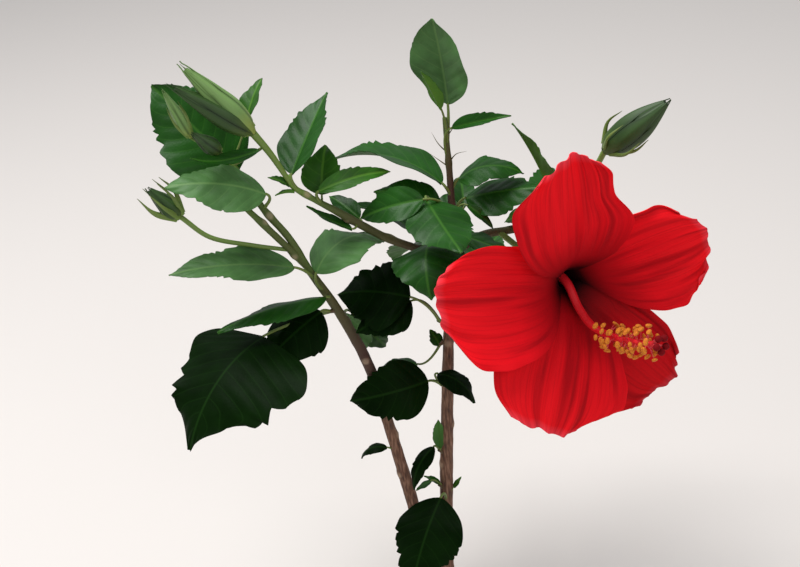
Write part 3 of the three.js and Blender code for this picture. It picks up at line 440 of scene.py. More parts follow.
def grow_blade(heap, base, blade, bend, tone, seed, outline=None, teeth=TOOTH_DEPTH, pitch=TOOTH_PITCH):
    """One blade. Its marks are the millimetres from the midrib, the count of side veins and the place."""
    heading, lift, length, width = blade
    droop, roll, fold = bend
    droop, fold = math.radians(droop), math.radians(fold)
    along, above, right = frame_of(heading, lift, roll)
    rows, columns = max(24, int(length / BLADE_ROW)), 13 + 2 * int(width / 5)
    t = np.linspace(0, 1, rows)[:, None]
    x = np.linspace(-1, 1, columns)[None, :]
    s = np.sign(x) * (1 - (1 - np.abs(x)) ** 1.25)
    off = np.abs(s)
    on_left = s < 0
    if outline:
        half = np.where(on_left, *(curve_through(OUTLINE_PLACES, side, t) * length for side in outline))
    else:
        half = np.maximum(np.clip(np.sin(math.pi * t**0.72), 0, 1) ** 0.9, 0.03) * width / 2 + 0 * s
    tooth_count = max(3, round(length * (1 - TOOTH_START) / pitch))
    count = (t - TOOTH_START) / (1 - TOOTH_START) * tooth_count + np.where(on_left, 0.5, 0.1) + seed * 0.37
    count = count + 0.3 * np.sin(1.7 * count + seed)
    saw = count - np.floor(count)
    notch = 1 - np.minimum(saw / 0.75, (1 - saw) / 0.25)
    uneven = 0.7 + 0.5 * np.sin(5.1 * np.floor(count) + 2.3 * seed)
    depth = teeth * uneven * smooth_step(t, TOOTH_START - 0.05, TOOTH_START + 0.15)
    half = half * (1 - depth * notch * off**5)
    reach = half * s
    wave = 2 * math.pi * RUFFLE_WAVES * t + seed * 1.7 + np.where(on_left, 2, 0)
    ruffle = RUFFLE * width * off**2 * np.sin(wave) * smooth_step(t, 0.05, 0.3)
    veins = max(4, min(9, length / VEIN_SPACING))
    vein = veins * (t - VEIN_RISE * off**1.2 * (1 - 0.4 * t)) + 0.5
    quilt = QUILT_HEIGHT * min(1, width / 25) * (np.abs(np.sin(math.pi * vein)) ** 0.8 - 0.6)
    quilt = quilt * smooth_step(off, 0.02, 0.3) * (1 - off**5) * smooth_step(t, 0, 0.1)
    groove = -MIDRIB_DEPTH * np.exp(-((reach / MIDRIB_WIDTH) ** 2)) * (1 - t)
    rise = np.abs(reach) * math.sin(fold) + ruffle + quilt + groove
    run = length * np.sin(droop * t) / droop
    fall = length * (1 - np.cos(droop * t)) / droop
    normal = above * np.cos(droop * t)[..., None] + along * np.sin(droop * t)[..., None]
    middle = base + along * run[..., None] - above * fall[..., None]
    hook = along * (TOOTH_HOOK * depth * (1 - notch) * off**5 * half)[..., None]
    sheet = middle + right * (reach * math.cos(fold))[..., None] + normal * rise[..., None] + hook
    rib = RIB_HEIGHT * np.exp(-((reach / RIB_WIDTH) ** 2)) * (1 - 0.8 * t)
    under = sheet - normal * (LEAF_THICKNESS + rib)[..., None]
    marks = np.stack([reach + 0 * t, vein + 0 * s, t + 0 * s], axis=-1)
    skin = 2 * list(LEAF_TONES).index(tone)
    add_sheet(heap, sheet, under, marks, skin, skin + 1)


class Bend:
    """The curve of a stalk that turns into its blade's direction."""

    def __init__(self, root, turn, end):
        self.points = [np.asarray(p, float) for p in (root, turn, end)]
        steps = [self.point(u) for u in np.linspace(0, 1, 20)]
        self.length = sum(np.linalg.norm(b - a) for a, b in zip(steps, steps[1:]))

    def point(self, u):
        a, b, c = self.points
        return a * (1 - u) ** 2 + b * 2 * u * (1 - u) + c * u**2

    def tangent(self, u):
        a, b, c = self.points
        return unit((b - a) * (1 - u) + (c - b) * u)


# Leaf skin: a clear waxy coat over green, smooth above and matt below. The marks draw the veins paler
# than the blade, about half a millimetre wide and drawn a little broader than life so that they show.
# Each tone gives the blade, the veins, the underside, the roughness and the shine.
LEAF_TONES = {
    "young": ("#2b5814", "#4e7a28", "#4a7628", 0.42, 0.18),
    "grown": ("#19460d", "#36641e", "#3c672c", 0.38, 0.18),
    "old": ("#071a03", "#16300d", "#1d3617", 0.45, 0.03),
    # This tone is painted sheen: its paler grey-green stands in for the reflection of the sky on leaves that
    # catch the light.
    "waxy": ("#446a38", "#5b7e46", "#4e7040", 0.45, 0.18),
}
UNDER_ROUGHNESS = 0.6
leaf_skins = []
for tone, (blade_colour, vein_colour, under_colour, roughness, shine) in LEAF_TONES.items():
    for side, ground, rough in (("upper", blade_colour, roughness), ("under", under_colour, UNDER_ROUGHNESS)):
        finish = {"Roughness": rough, "Specular IOR Level": shine}
        skin, tree, surface = new_material(f"{tone}_leaf_{side}_skin", finish)
        marks = add_node(tree, "Attribute", {"attribute_name": "marks"}, {})
        split = add_node(tree, "SeparateXYZ", {}, {0: marks.outputs["Vector"]})
        from_rib = add_node(tree, "Math", {"operation": "ABSOLUTE"}, {0: split})
        span = {"From Min": 0.35, "From Max": 1.0, "To Min": 0.8, "To Max": 0.0}
        rib = add_node(tree, "MapRange", span, {"Value": from_rib})
        wave = add_node(tree, "Math", {"operation": "FRACT"}, {0: split.outputs["Y"]})
        centred = add_node(tree, "Math", {"operation": "SUBTRACT", 1: 0.5}, {0: wave})
        off_vein = add_node(tree, "Math", {"operation": "ABSOLUTE"}, {0: centred})
        span = {"From Min": 0.44, "From Max": 0.5, "To Max": 0.4}
        vein = add_node(tree, "MapRange", span, {"Value": off_vein})
        both = add_node(tree, "Math", {"operation": "MAXIMUM"}, {0: rib, 1: vein})
        place = add_node(tree, "TexCoord", {}, {}).outputs["Object"]
        blotch = add_node(tree, "TexNoise", {"Scale": 70.0, "Detail": 3.0}, {"Vector": place})
        span = {"From Min": 0.3, "From Max": 0.7, "To Min": 0.75, "To Max": 1.3}
        shade = add_node(tree, "MapRange", span, {"Value": blotch})
        shaded = {"data_type": "RGBA", "blend_type": "MULTIPLY", 0: 1.0, 6: linear(ground)}
        body = add_node(tree, "Mix", shaded, {7: shade})
        veined = add_node(
            tree, "Mix", {"data_type": "RGBA", 7: linear(vein_colour)}, {0: both, 6: body.outputs[2]}
        )
        cells = add_node(tree, "TexNoise", {"Scale": 900.0, "Detail": 2.0}, {"Vector": place})
        grain = add_node(tree, "Bump", {"Strength": 0.25, "Distance": 0.0003}, {"Height": cells})
        tree.links.new(veined.outputs[2], surface.inputs["Base Color"])
        tree.links.new(grain.outputs["Normal"], surface.inputs["Normal"])
        leaf_skins.append(skin)

# Stalks of leaves and buds: soft green rods, flushed with red-brown, least on the bud stalks and most on the
# spurs. They are made with the leaves and end up in one piece.
stalk_rind, tree, surface = new_material("stalk_rind", {"Roughness": 0.5})
marks = add_node(tree, "Attribute", {"attribute_name": "marks"}, {})
split = add_node(tree, "SeparateXYZ", {}, {0: marks.outputs["Vector"]})
FLUSH_STOPS = [(0.0, "#6f8f3c"), (0.5, "#5a5a2c"), (1.0, "#4a2420")]
flush = add_node(tree, "ValToRGB", {"stops": FLUSH_STOPS}, {0: split.outputs["Y"]})
tree.links.new(flush.outputs["Color"], surface.inputs["Base Color"])
SPUR_RADIUS = 1.6
STALK_LEAST = 0.3  # radius of a leaf stalk, which grows with the length of its blade
STALK_GROWTH = 0.012
STALK_MOST = 0.85
stalks = Heap()


def grow_leaf(blades, axis, leaf, tone, seed, spur_tip=None):
    """A blade at the end of its stalk, which springs from the limb or from the tip of a spur.

    A leaf is its distance along the limb; its stalk's heading, lift and reach to the blade's foot; its
    blade's heading, lift, length and width; its droop, roll and fold; and at times its own tone and cut.
    """
    at, (heading, lift, reach), blade, bend, *own = leaf
    axil = axis.point(at / axis.length)
    base = axil + direction(heading, lift) * reach
    root = axil if spur_tip is None else spur_tip
    along = direction(*blade[:2])
    turn = base - along * STALK_BEND * np.linalg.norm(root - base)
    line = Bend(root, turn, base + along * 0.5)
    radius = min(STALK_MOST, STALK_LEAST + STALK_GROWTH * blade[2])
    rings = max(6, int(line.length / 2))

    def radius_at(u, angle):
        return radius * (1.2 - 0.4 * u + 0.25 * math.exp(-u * line.length / 2))

    add_tube(stalks, line, radius_at, 8, rings, lambda u, a: (u, STALK_FLUSH, 0))
    cut = own[1] if len(own) > 1 else {}
    grow_blade(blades, base, blade, bend, own[0] if own else tone, seed, **cut)


def grow_mass(name, limb, tone, seed, leaves, spur=None, node=None):
    """The leaves of one node, on a limb or at the end of a spur given as place, heading, lift and length."""
    axis = LIMBS[limb]["axis"]
    spur_tip = None
    if spur:
        at, heading, lift, length = spur
        root, way = axis.point(at / axis.length), direction(heading, lift)
        spur_tip = root + way * length
        line = Line([root, spur_tip, spur_tip + way * SPUR_RADIUS])
        add_tube(stalks, line, lambda u, a: SPUR_RADIUS * (1 - 0.4 * u), 10, 8, lambda u, a: (u, 0.8, 0))
    blades = Heap()
    for order, leaf in enumerate(leaves):
        grow_leaf(blades, axis, leaf, tone, seed + order, spur_tip)
    make_piece(name + "_blades", blades, leaf_skins, [node or name])


# Leaves of the crown, round the top of the main stem, with thread-like stipules beside the youngest ones. The
# top ones are soft new growth, the rest full grown, and each hangs from the stem by its own stalk.
CROWN_LEAVES = [
    # The first leaf takes the tone of painted sheen.
    (294, (52, 80, 22), (50, 93, 50, 36), (-10, 0, 14), "waxy", {"outline": CROWN_OUTLINE, "teeth": 0.02}),
    (292, (250, 78, 25), (215, 68, 27, 9), (8, 30, 25), "young"),
    (284, (310, 78, 21), (338, 18, 34, 10), (15, 40, 30)),
    (264, (196, 63, 10), (147, 37, 79, 37), (68, 14, 12)),
    (267, (7, 56, 8), (336, 46, 40, 25), (90, 20, -12)),
    (256, (45, -9, 10), (86, 33, 28, 14), (35, 10, 12)),
    (253, (22, 44, 12), (331, 20, 48, 28), (21, 32, -20)),
    (253, (225, 43, 11), (180, 40, 42, 24), (70, -40, -10)),
    (251, (234, 41, 34), (186, 0, 40, 20), (60, -50, 8)),
    (249, (232, 46, 31), (288, -20, 48, 37), (-10, 0, -10)),
    (247, (229, -5, 21), (255, 21, 42, 42), (110, 10, -12)),
    (247, (323, 53, 18), (335, -30, 21, 6), (50, 33, 15)),
    (246, (295, -2, 12), (342, -18, 30, 20), (10, 0, 0)),
]
STIPULES = [(289, 170, 50, 15, -15), (281, 170, 40, 13, 0), (298, 10, 50, 10, 0), (283, 0, 50, 13, 40)]
STIPULE_RADIUS = 0.45
grow_mass("crown", "main_stem", "grown", 0, CROWN_LEAVES, node="crown_leaves")
main_axis = LIMBS["main_stem"]["axis"]
for at, heading, lift, length, sag in STIPULES:
    root = main_axis.point(at / main_axis.length)
    middle = root + direction(heading, lift) * length / 2
    line = Line([root, middle, middle + direction(heading, lift - sag) * length / 2])
    add_tube(stalks, line, lambda u, a: STIPULE_RADIUS * (1.06 - u), 6, 10, lambda u, a: (u, 0.6, 0))

# Leaves of the shoot that crosses between the stems, and the tuft of half-grown ones at its tip. The tuft is
# folded and yellow-green, and sits almost without stalks on the end of the shoot.
CROSS_LEAVES = [
    (100, (180, 75, 10), (55, 42, 51, 30), (5, -10, 16)),
    (85, (88, 18, 7), (71, 77, 28, 24), (40, 0, 10), "young"),
    (85, (249, 69, 9), (5, 20, 45, 12), (55, 45, 15), "young"),
    (62, (241, -9, 6), (162, 18, 28, 9), (-20, 0, 15)),
    (59, (96, 3, 9), (136, 30, 26, 12), (30, -22, 10)),
    (103, (185, 30, 2), (178, 38, 13, 6), (25, -20, 25), "young"),
    (100, (200, 10, 2), (190, 12, 11, 5), (30, 20, 25), "young"),
    (105, (170, 60, 2), (165, 62, 9, 4), (10, 0, 30), "young"),
]
grow_mass("cross", "cross_shoot", "grown", 20, CROSS_LEAVES, node="cross_leaves")

# Leaves at the top of the left-hand shoot, and the one at the end of the side shoot: full grown but for the
# topmost, thin and a little twisted, on stalks that spring from green wood.
UPPER_LEFT_LEAVES = [
    (72, (64, -41, 4), (157, 46, 66, 50), (15, -55, 10)),
    # The next leaf takes the tone of painted sheen.
    (46, (293, 51, 15), (201, 35, 55, 33), (50, -33, -12), "waxy"),
    (74, (347, 29, 18), (208, -9, 46, 9), (-50, -30, 15)),
    (75, (37, 58, 25), (60, 57, 24, 16), (25, -20, 15), "young"),
]
grow_mass("upper_left", "bud_shoot", "grown", 30, UPPER_LEFT_LEAVES, node="upper_left_leaves")
SIDE_LEAVES = [(46, (120, 20, 10), (140, 25, 40, 26), (40, 0, 10))]
grow_mass("side", "side_shoot", "grown", 40, SIDE_LEAVES, node="side_leaves")

# Leaves that spring straight from a stem, some of them from a short woody spur. The low ones are the oldest
# and darkest, with matt blades. The outer and the fan leaf on the left take the paler grey-green tone that is
# painted sheen, standing in for the reflection of the sky where they catch the light.
STEM_LEAVES = [  # node, limb, tone, spur, leaves
    ("left_outer_leaves", "left_stem", "waxy", None, [
        (232, (220, 47, 22), (192, 21, 68, 30), (30, -15, 5)),
    ]),
    ("left_fan_leaf", "left_stem", "waxy", None, [
        (227, (247, 62, 16), (33, 60, 54, 42), (112, 0, -8)),
    ]),
    ("left_long_leaf", "left_stem", "grown", None, [
        (222, (262, 28, 7), (200, 10, 64, 24), (27, 0, -20)),
    ]),
    ("left_broad_leaves", "left_stem", "old", (212, 212, 10, 5.5), [
        (214, (216, 9, 10), (215, -15, 42, 36), (30, -30, -10)),
        (209, (204, 1, 46), (225, -1, 78, 74), (68, -2, -6), "old",
         {"outline": BROAD_OUTLINE, "teeth": 0.13, "pitch": 8.5}),
    ]),
    ("left_back_leaves", "left_stem", "grown", (207, 80, -10, 6), [
        (207, (90, -16, 16), (40, -60, 34, 28), (20, 0, 8)),
        (207, (74, -22, 21), (7, -59, 38, 22), (35, 90, 8)),
    ]),
    ("left_small_leaf", "left_stem", "grown", None, [
        (112, (204, 27, 6), (174, 24, 21, 10), (100, -8, -15), "old"),
    ]),
    ("middle_leaves", "main_stem", "old", (186, 214, 40, 8), [
        (187, (215, 47, 36), (178, 22, 44, 44), (55, -38, -12)),
        (186, (213, 46, 34), (205, -5, 36, 28), (40, -35, -10)),
    ]),
    ("twig_leaf", "main_stem", "grown", (178, 205, -20, 6), [
        (178, (192, -33, 23), (176, 21, 29, 16), (70, -6, -12)),
        (178, (216, -19, 7), (130, 58, 11, 9), (20, 0, 0)),
    ]),
    ("lower_leaves", "main_stem", "old", (147, 232, 35, 6.5), [
        (147, (223, 35, 18), (218, 6, 50, 35), (78, -68, 0)),
        (149, (240, 48, 17), (333, 6, 30, 20), (86, 0, -10)),
    ]),
    ("small_shoot", "main_stem", "grown", (101, 218, 45, 6.5), [
        (102, (227, 50, 8), (279, 97, 20, 8), (20, 0, 10)),
        (101, (210, 48, 12), (222, -7, 33, 12), (100, -10, -20), "old"),
    ]),
    ("low_left_leaf", "main_stem", "grown", (77, 222, 45, 6.5), [
        (77, (230, 52, 8), (170, 35, 11, 6), (10, 0, 10)),
        (77, (215, 46, 15), (194, -9, 11, 6), (30, 0, -10)),
    ]),
    ("low_front_leaf", "main_stem", "old", None, [
        (67, (257, 43, 20), (235, -30, 60, 44), (40, -5, -12)),
    ]),
    ("low_right_leaf", "main_stem", "young", None, [
        (71, (336, 56, 9), (30, 47, 8, 4), (13, 0, 0)),
    ]),
]
for count, (name, limb, tone, spur, leaves) in enumerate(STEM_LEAVES):
    grow_mass(name, limb, tone, 50 + 5 * count, leaves, spur)

# Leaves on the end of the flower shoot, young and yellow-green. They spring from the same green wood as the
# stalks of the bloom and of the bud beside it.
RIGHT_LEAVES = [
    (58, (305, 75, 19), (150, 70, 44, 22), (15, 45, 14)),
    (57, (227, 40, 11), (168, 1, 20, 12), (45, -26, 10)),
]
grow_mass("right", "flower_shoot", "young", 120, RIGHT_LEAVES, node="right_leaves")

# Shoots that fill the back of the shrub. Leaves stand round each by the golden angle, in sizes from a seeded
# sequence, and one that would come too near a limb is left out, as a crowded leaf is shed.
BACK_SHOOTS = {  # limb, distance along it, heading and lift, reach, count of leaves, seed
    "back_crown_leaves": ("main_stem", 224, (120, 18), 36, 5, 3),
    "back_middle_leaves": ("main_stem", 172, (65, 22), 46, 6, 11),
    "back_bloom_leaves": ("flower_shoot", 40, (40, 0), 34, 5, 7),
}
BACK_RADIUS = 1.7
BACK_STALK = 9
BACK_BEND = (38, 0, 12)
BACK_LENGTH, BACK_LENGTH_RANGE = 34, 12
BACK_WIDTH, BACK_WIDTH_RANGE = 0.52, 0.14  # as shares of the length
BACK_TURN = math.radians(40)
BACK_PLACES = (0.42, 0.98)  # of the first and the last leaf along a shoot
LIMB_MARGIN = 4


def sequence(seed):
    state = seed
    while True:
        state = (state * 1664525 + 1013904223) % 4294967296
        yield state / 4294967296


limb_marks = np.array(
    [
        [*facts["axis"].point(u), spread_along(facts["radii"], u) + LIMB_MARGIN]
        for facts in LIMBS.values()
        for u in np.linspace(0, 1, 41)
    ]
)


def is_clear(base, blade):
    along = direction(blade[0], blade[1] - 15)
    points = [base + along * t * blade[2] for t in (0.3, 0.6, 1)]
    return all((np.linalg.norm(limb_marks[:, :3] - p, axis=1) > limb_marks[:, 3]).all() for p in points)


for name, (limb, at, way, reach, count, seed) in BACK_SHOOTS.items():
    limb_axis = LIMBS[limb]["axis"]
    root = limb_axis.point(at / limb_axis.length)
    along, above, right = frame_of(*way)
    shoot = Line([root, root + along * reach / 2 - [0, 0, 2], root + along * reach])
    add_tube(
        stalks, shoot, lambda u, a: BACK_RADIUS * min(1, 1.4 - 0.8 * u), 10, 24,
        lambda u, a: (u, 0.5 * (1 - u), 0),
    )
    sizes = sequence(seed)
    blades = Heap()
    for i in range(count):
        lean = math.radians(8 if i == count - 1 else 58 - 4 * i)
        length = BACK_LENGTH + BACK_LENGTH_RANGE * next(sizes)
        out = between(above, right, i * GOLDEN_ANGLE + BACK_TURN)
        aim = between(along, out, lean)
        heading = math.degrees(math.atan2(aim[1], aim[0]))
        lift = min(45, max(-15, math.degrees(math.asin(aim[2]))))
        at = shoot.length * np.interp(i, [0, count - 1], BACK_PLACES)
        blade = [heading, lift, length, length * (BACK_WIDTH + BACK_WIDTH_RANGE * next(sizes))]
        if is_clear(shoot.point(at / shoot.length) + direction(heading, lift) * BACK_STALK, blade):
            leaf = (at, (heading, lift, BACK_STALK), blade, BACK_BEND)
            grow_leaf(blades, shoot, leaf, "grown", 150 + 7 * i + seed)
    make_piece(name + "_blades", blades, leaf_skins, [name])

# Flower buds: a green calyx of five sepals, ribbed and still shut, with their points standing apart at
# the tip of a young one, and a ring of narrow bracts curving out from the foot.
BUDS = [  # foot; heading, lift, length, width; count, reach, spread and radius of the bracts; tone
    # The tone is painted light and shade: lit for a bud in the light, dark for a bud in shade.
    ((-77, -16, 318), (187, 53, 53, 14), (6, 0.35, 14, 0.9), "lit"),
    ((-77, -16, 318), (195, 41, 52, 13), (6, 0.35, 14, 0.9), "dark"),
    ((-109, -18, 320), (190, 69, 30, 7), (4, 0.6, 20, 0.9), "lit"),
    ((-95, -20, 311), (206, 46, 20, 9), (4, 0.5, 20, 0.9), "dark"),
    ((-121, -20, 277), (188, 52, 24, 11), (7, 0.95, 30, 1.35), "dark"),
    ((108, -2, 282), (341, 40, 47, 17), (5, 0.45, 42, 1.17), "dark"),
]
RIPE_BUD = 5  # its sepals close to one point
FULL_BUD = [(0, 0.3), (0.1, 0.72), (0.3, 1), (0.55, 0.95), (0.8, 0.55), (1, 0.06)]
TAPERED_BUD = [(0, 0.3), (0.1, 0.72), (0.28, 1), (0.55, 0.8), (0.8, 0.45), (1, 0.06)]
BUD_ROWS = 30
BUD_SIDES = 40
SEPALS = 5
SEPAL_COLUMNS = 9
SEPAL_LIFT = 0.35
SEPAL_THICKNESS = 0.3
KEEL_RISE = 0.1
SEAM_RADIUS = 0.86  # of the shut calyx, as a fraction of the bud's, with a rib between two seams
RIB_RISE = 0.12
POINT_FLARE = 0.5
SEPAL_SPLIT = 0.12  # least radius of the ring of points, as a fraction of the bud's

# Bud skin: smooth waxy green, yellower at the foot, with painted shade in the seams between the sepals. There
# are a lit and a shaded copy: buds in the light take the paler lit tone and buds in shade the dark one, as
# painted light and shade. A tone gives the foot, the sepals and the painted seam shade.
BUD_TONES = {"lit": ("#93a04c", "#6f9150", "#46632d"), "dark": ("#4d6128", "#2f4a1e", "#1c3114")}
bud_skins = []
for tone, (foot, green, seam_shade) in BUD_TONES.items():
    skin, tree, surface = new_material(f"{tone}_bud_skin", {"Roughness": 0.5, "Specular IOR Level": 0.35})
    marks = add_node(tree, "Attribute", {"attribute_name": "marks"}, {})
    split = add_node(tree, "SeparateXYZ", {}, {0: marks.outputs["Vector"]})
    stops = [(0.0, foot), (0.3, green), (1.0, green)]
    along_bud = add_node(tree, "ValToRGB", {"stops": stops}, {0: split.outputs["Y"]})
    fade = {"From Max": 0.45, "To Min": 0.85, "To Max": 0.0}
    painted_seam_shade = add_node(tree, "MapRange", fade, {"Value": split.outputs["Z"]})
    seamed = add_node(tree, "Mix", {"data_type": "RGBA", 7: linear(seam_shade)}, {0: painted_seam_shade, 6: along_bud})
    tree.links.new(seamed.outputs[2], surface.inputs["Base Color"])
    bud_skins.append(skin)


def bud_width(profile, t):
    """Width of a bud at a place along it, on a smooth curve through its profile."""
    places, widths = zip(*profile)
    i = min(np.searchsorted(places, t, side="right") - 1, len(places) - 2)
    step = places[i + 1] - places[i]
    w = (t - places[i]) / step
    slopes = np.gradient(widths, places)
    bend = step * (slopes[i] * w * (1 - w) ** 2 - slopes[i + 1] * w**2 * (1 - w))
    return max(0.04, widths[i] + (widths[i + 1] - widths[i]) * w * w * (3 - 2 * w) + bend)


buds, bracts = Heap(), Heap()
for number, (foot, (heading, lift, length, width), bract, tone) in enumerate(BUDS):
    bract_count, reach, spread, thick = bract
    along, above, right = frame_of(heading, lift)
    ripe = number == RIPE_BUD
    profile = FULL_BUD if ripe else TAPERED_BUD
    skin = list(BUD_TONES).index(tone)
    grid = (BUD_ROWS, SEPAL_COLUMNS, 3)
    points, marks = [], []
    for t in np.linspace(0, 0.93, BUD_ROWS):
        for angle in turns(BUD_SIDES):
            rib = abs(math.cos(SEPALS * angle / 2)) ** 0.5
            radius = width / 2 * bud_width(profile, t) * (SEAM_RADIUS + RIB_RISE * rib)
            points.append(foot + along * t * length + between(right, above, angle) * radius)
            marks.append((angle, t, rib))
    buds.add(points, tube_faces(BUD_ROWS, BUD_SIDES), marks, skin)
    for k, middle in enumerate(turns(SEPALS)):
        top, under, marks = [], [], []
        late = 0 if ripe else 0.04 * math.sin(2.4 * k + number)
        least = 0.03 if ripe else SEPAL_SPLIT
        for t in np.linspace(0.1, 1, BUD_ROWS):
            half = (math.pi / SEPALS) * 0.97 * min(1, (1.02 - t) / 0.5) ** 0.8
            flare = 1 + (0 if ripe else POINT_FLARE) * smooth_step(t, 0.8, 1)
            centre = foot + along * t * length * (1 + late * t)
            for s in np.linspace(-1, 1, SEPAL_COLUMNS):
                angle = middle + half * s
                out = between(right, above, angle)
                keel = KEEL_RISE * (1 - abs(s)) ** 2 * math.sin(math.pi * min(1, 1.1 * t))
                radius = width / 2 * max(bud_width(profile, t), least) * flare * (0.93 + keel)
                top.append(centre + out * (radius + SEPAL_LIFT * (1 - 0.7 * abs(s))))
                under.append(centre + out * max(radius - SEPAL_THICKNESS, 0.1))
                marks.append((angle, t, 1 - abs(s)))
        add_sheet(buds, np.reshape(top, grid), np.reshape(under, grid), marks, skin, skin)
    for turn in turns(bract_count, 0.5):
        out = between(right, above, turn)
        root = foot + along * 0.05 * length + out * 0.2 * width
        middle = root + between(along, out, math.radians(spread)) * reach * length * 0.55
        line = Line([root, middle, middle + along * reach * length * 0.5])
        add_tube(
            bracts, line, lambda u, a: thick * (1.08 - u) * (1 + 0.35 * math.cos(2 * a)), 8, 14,
            lambda u, a: (u, 0.1 + 0.2 * u, 0),
        )
make_piece("flower_buds", buds, bud_skins, ["left_bud"])
make_piece("bud_bracts", bracts, [stalk_rind])

# Stalks that carry the buds: round green rods that grow out of the shoots and thicken towards the calyx. Each
# has its radius at the start and at the bud.
cross_axis, bud_axis, side_axis, flower_axis = (
    LIMBS[limb]["axis"] for limb in ("cross_shoot", "bud_shoot", "side_shoot", "flower_shoot")
)
bud_fork = bud_axis.point(1) - [0, 0, 2]
BUD_STALKS = [
    ([cross_axis.point(0.96), (cross_axis.point(1) + (-77, -16, 318)) / 2, (-77, -16, 318)], 1.4, 2.1),
    ([bud_fork, (bud_axis.point(1) + (-109, -18, 318)) / 2, (-109, -18, 320)], 0.9, 0.9),
    ([bud_fork, (bud_axis.point(1) + (-95, -20, 309)) / 2, (-95, -20, 311)], 0.9, 0.9),
    ([side_axis.point(18 / side_axis.length), (-86, -21, 257), (-107, -21, 264), (-121, -20, 277)], 1.1, 1.4),
    ([flower_axis.point(0.96), (flower_axis.point(1) + (108, -2, 282)) / 2, (108, -2, 282)], 1.5, 1.7),
]
for points, start, end in BUD_STALKS:
    line = Line(points)
    rings = max(8, int(line.length / 2))
    add_tube(stalks, line, lambda u, a: start + (end - start) * u, 12, rings, lambda u, a: (u, 0.12, 0))

# The bloom: five overlapping petals, each a silky crimson sheet that springs from a narrow claw in the tube,
# spreads over a funnel and ends in a ruffled rim. A pair of values is for its clockwise and its
# counter-clockwise side, and lies says whether that edge lies over (1) or under (-1) the petal beside it.
BLOOM = {"throat": np.array([79.0, -45, 229]), "heading": 297, "lift": -3}
PETALS = [
    {"azimuth": 23, "reach": 66, "halves": (34, 27), "rounds": (0.9, 0.4), "lies": (1, -1), "slope": 0.48},
    {"azimuth": 97, "reach": 84, "halves": (29, 37), "rounds": (0.45, 0.5), "lies": (1, 1), "slope": 0.155},
    {"azimuth": 169, "reach": 83, "halves": (28, 34), "rounds": (0.6, 0.6), "lies": (-1, 1), "slope": -0.134},
    {"azimuth": 238, "reach": 74, "halves": (34, 40), "rounds": (0.15, 1), "lies": (-1, 1), "slope": 0.39},
    {"azimuth": 307, "reach": 78, "halves": (40, 18), "rounds": (0.5, 0.6), "lies": (-1, -1), "slope": 0.3},
]
PINCHED_PETAL = 1  # its clockwise side narrows towards the tip
PINCH = 0.36
PETAL_THICKNESS = 0.5
PETAL_TILT = 0.16
PETAL_BELL = 14
BELL_RUN = 12
PETAL_RECURVE = 4
RECURVE_START = 50
PETAL_RUFFLE = 2.4
RIM_CRIMP = 0.8
PLEAT_HEIGHT = 0.7
THROAT_RADIUS = 5.6
NECK_SPREAD = 0.95  # half width of a petal near the throat for each millimetre from the axis, so none gapes
CLAW_COLUMNS = [(-18, -9, 0), (4.6, 5.0, 5.6), (3.6, 4.2, 5.3)]  # rise, distance from the axis, half width
CLAW_FOLD = 0.12
PETAL_PLACES = (0, 0.08, 0.2, 0.36, 0.54, 0.71, 0.87, 1)
PETAL_HALVES = (0.1, 0.36, 0.67, 0.87, 0.98, 1, 0.9, 0.64)
PETAL_SAGS = (0, 0, 0, 1, 3, 6.5, 11, 16)  # mm that the corners of a rim fall short of its middle
bloom_axis, bloom_up, bloom_right = frame_of(BLOOM["heading"], BLOOM["lift"])


def bloom_point(rise, reach, azimuth):
    """A point at a height above the bloom's throat, a distance from its axis and an azimuth in radians."""
    out = bloom_up * np.sin(azimuth)[..., None] - bloom_right * np.cos(azimuth)[..., None]
    return BLOOM["throat"] + bloom_axis * np.asarray(rise)[..., None] + out * np.asarray(reach)[..., None]


def slope_at(azimuth):
    """The funnel's slope, blended between the middles of the petals on both sides."""
    place = ((np.degrees(azimuth) - PETALS[0]["azimuth"] + 720) % 360) / (360 / len(PETALS))
    i = np.floor(place).astype(int) % len(PETALS)
    blend = (1 - np.cos(math.pi * (place - np.floor(place)))) / 2
    slopes = np.array([petal["slope"] for petal in PETALS])
    return slopes[i] + (slopes[(i + 1) % len(PETALS)] - slopes[i]) * blend


def funnel_rise(reach, azimuth):
    out = reach - THROAT_RADIUS
    fall = np.maximum(0, reach - RECURVE_START) / (PETALS[1]["reach"] - RECURVE_START)
    return PETAL_BELL * (1 - np.exp(-out / BELL_RUN)) + slope_at(azimuth) * out - PETAL_RECURVE * fall**2


# Thin living silk over wet pulp: nearly black in the throat, crimson on the blade and a little pinker at the
# rim, with broad darker streaks along the folds, painted shade, and a fan of fine veins. Each petal's colour
# is multiplied by a grey of its own, painted light and shade, lightest on the second petal and darkest on the
# last.
FOLD_MARK = 2.6
PETAL_MARK = 7.0
DEPTH_STOPS = [
    (0.0, "#120001"), (0.025, "#260003"), (0.06, "#660309"), (0.15, "#a00510"), (0.42, "#e00d1a"),
    (0.93, "#f4151f"), (1.0, "#f6424e"),
]
PETAL_SHADE_STOPS = [(0.0, "#fafafa"), (0.25, "#ffffff"), (0.5, "#fafafa"), (0.75, "#f4f4f4"), (1.0, "#cccccc")]
finish = {"Roughness": 0.6, "Specular IOR Level": 0.06, "Sheen Weight": 0.04, "Sheen Tint": linear("#ff4050")}
petal_silk, tree, surface = new_material("petal_silk", finish)
marks = add_node(tree, "Attribute", {"attribute_name": "marks"}, {})
split = add_node(tree, "SeparateXYZ", {}, {0: marks.outputs["Vector"]})
depth = add_node(tree, "ValToRGB", {"stops": DEPTH_STOPS}, {0: split.outputs["Y"]})
lines = []
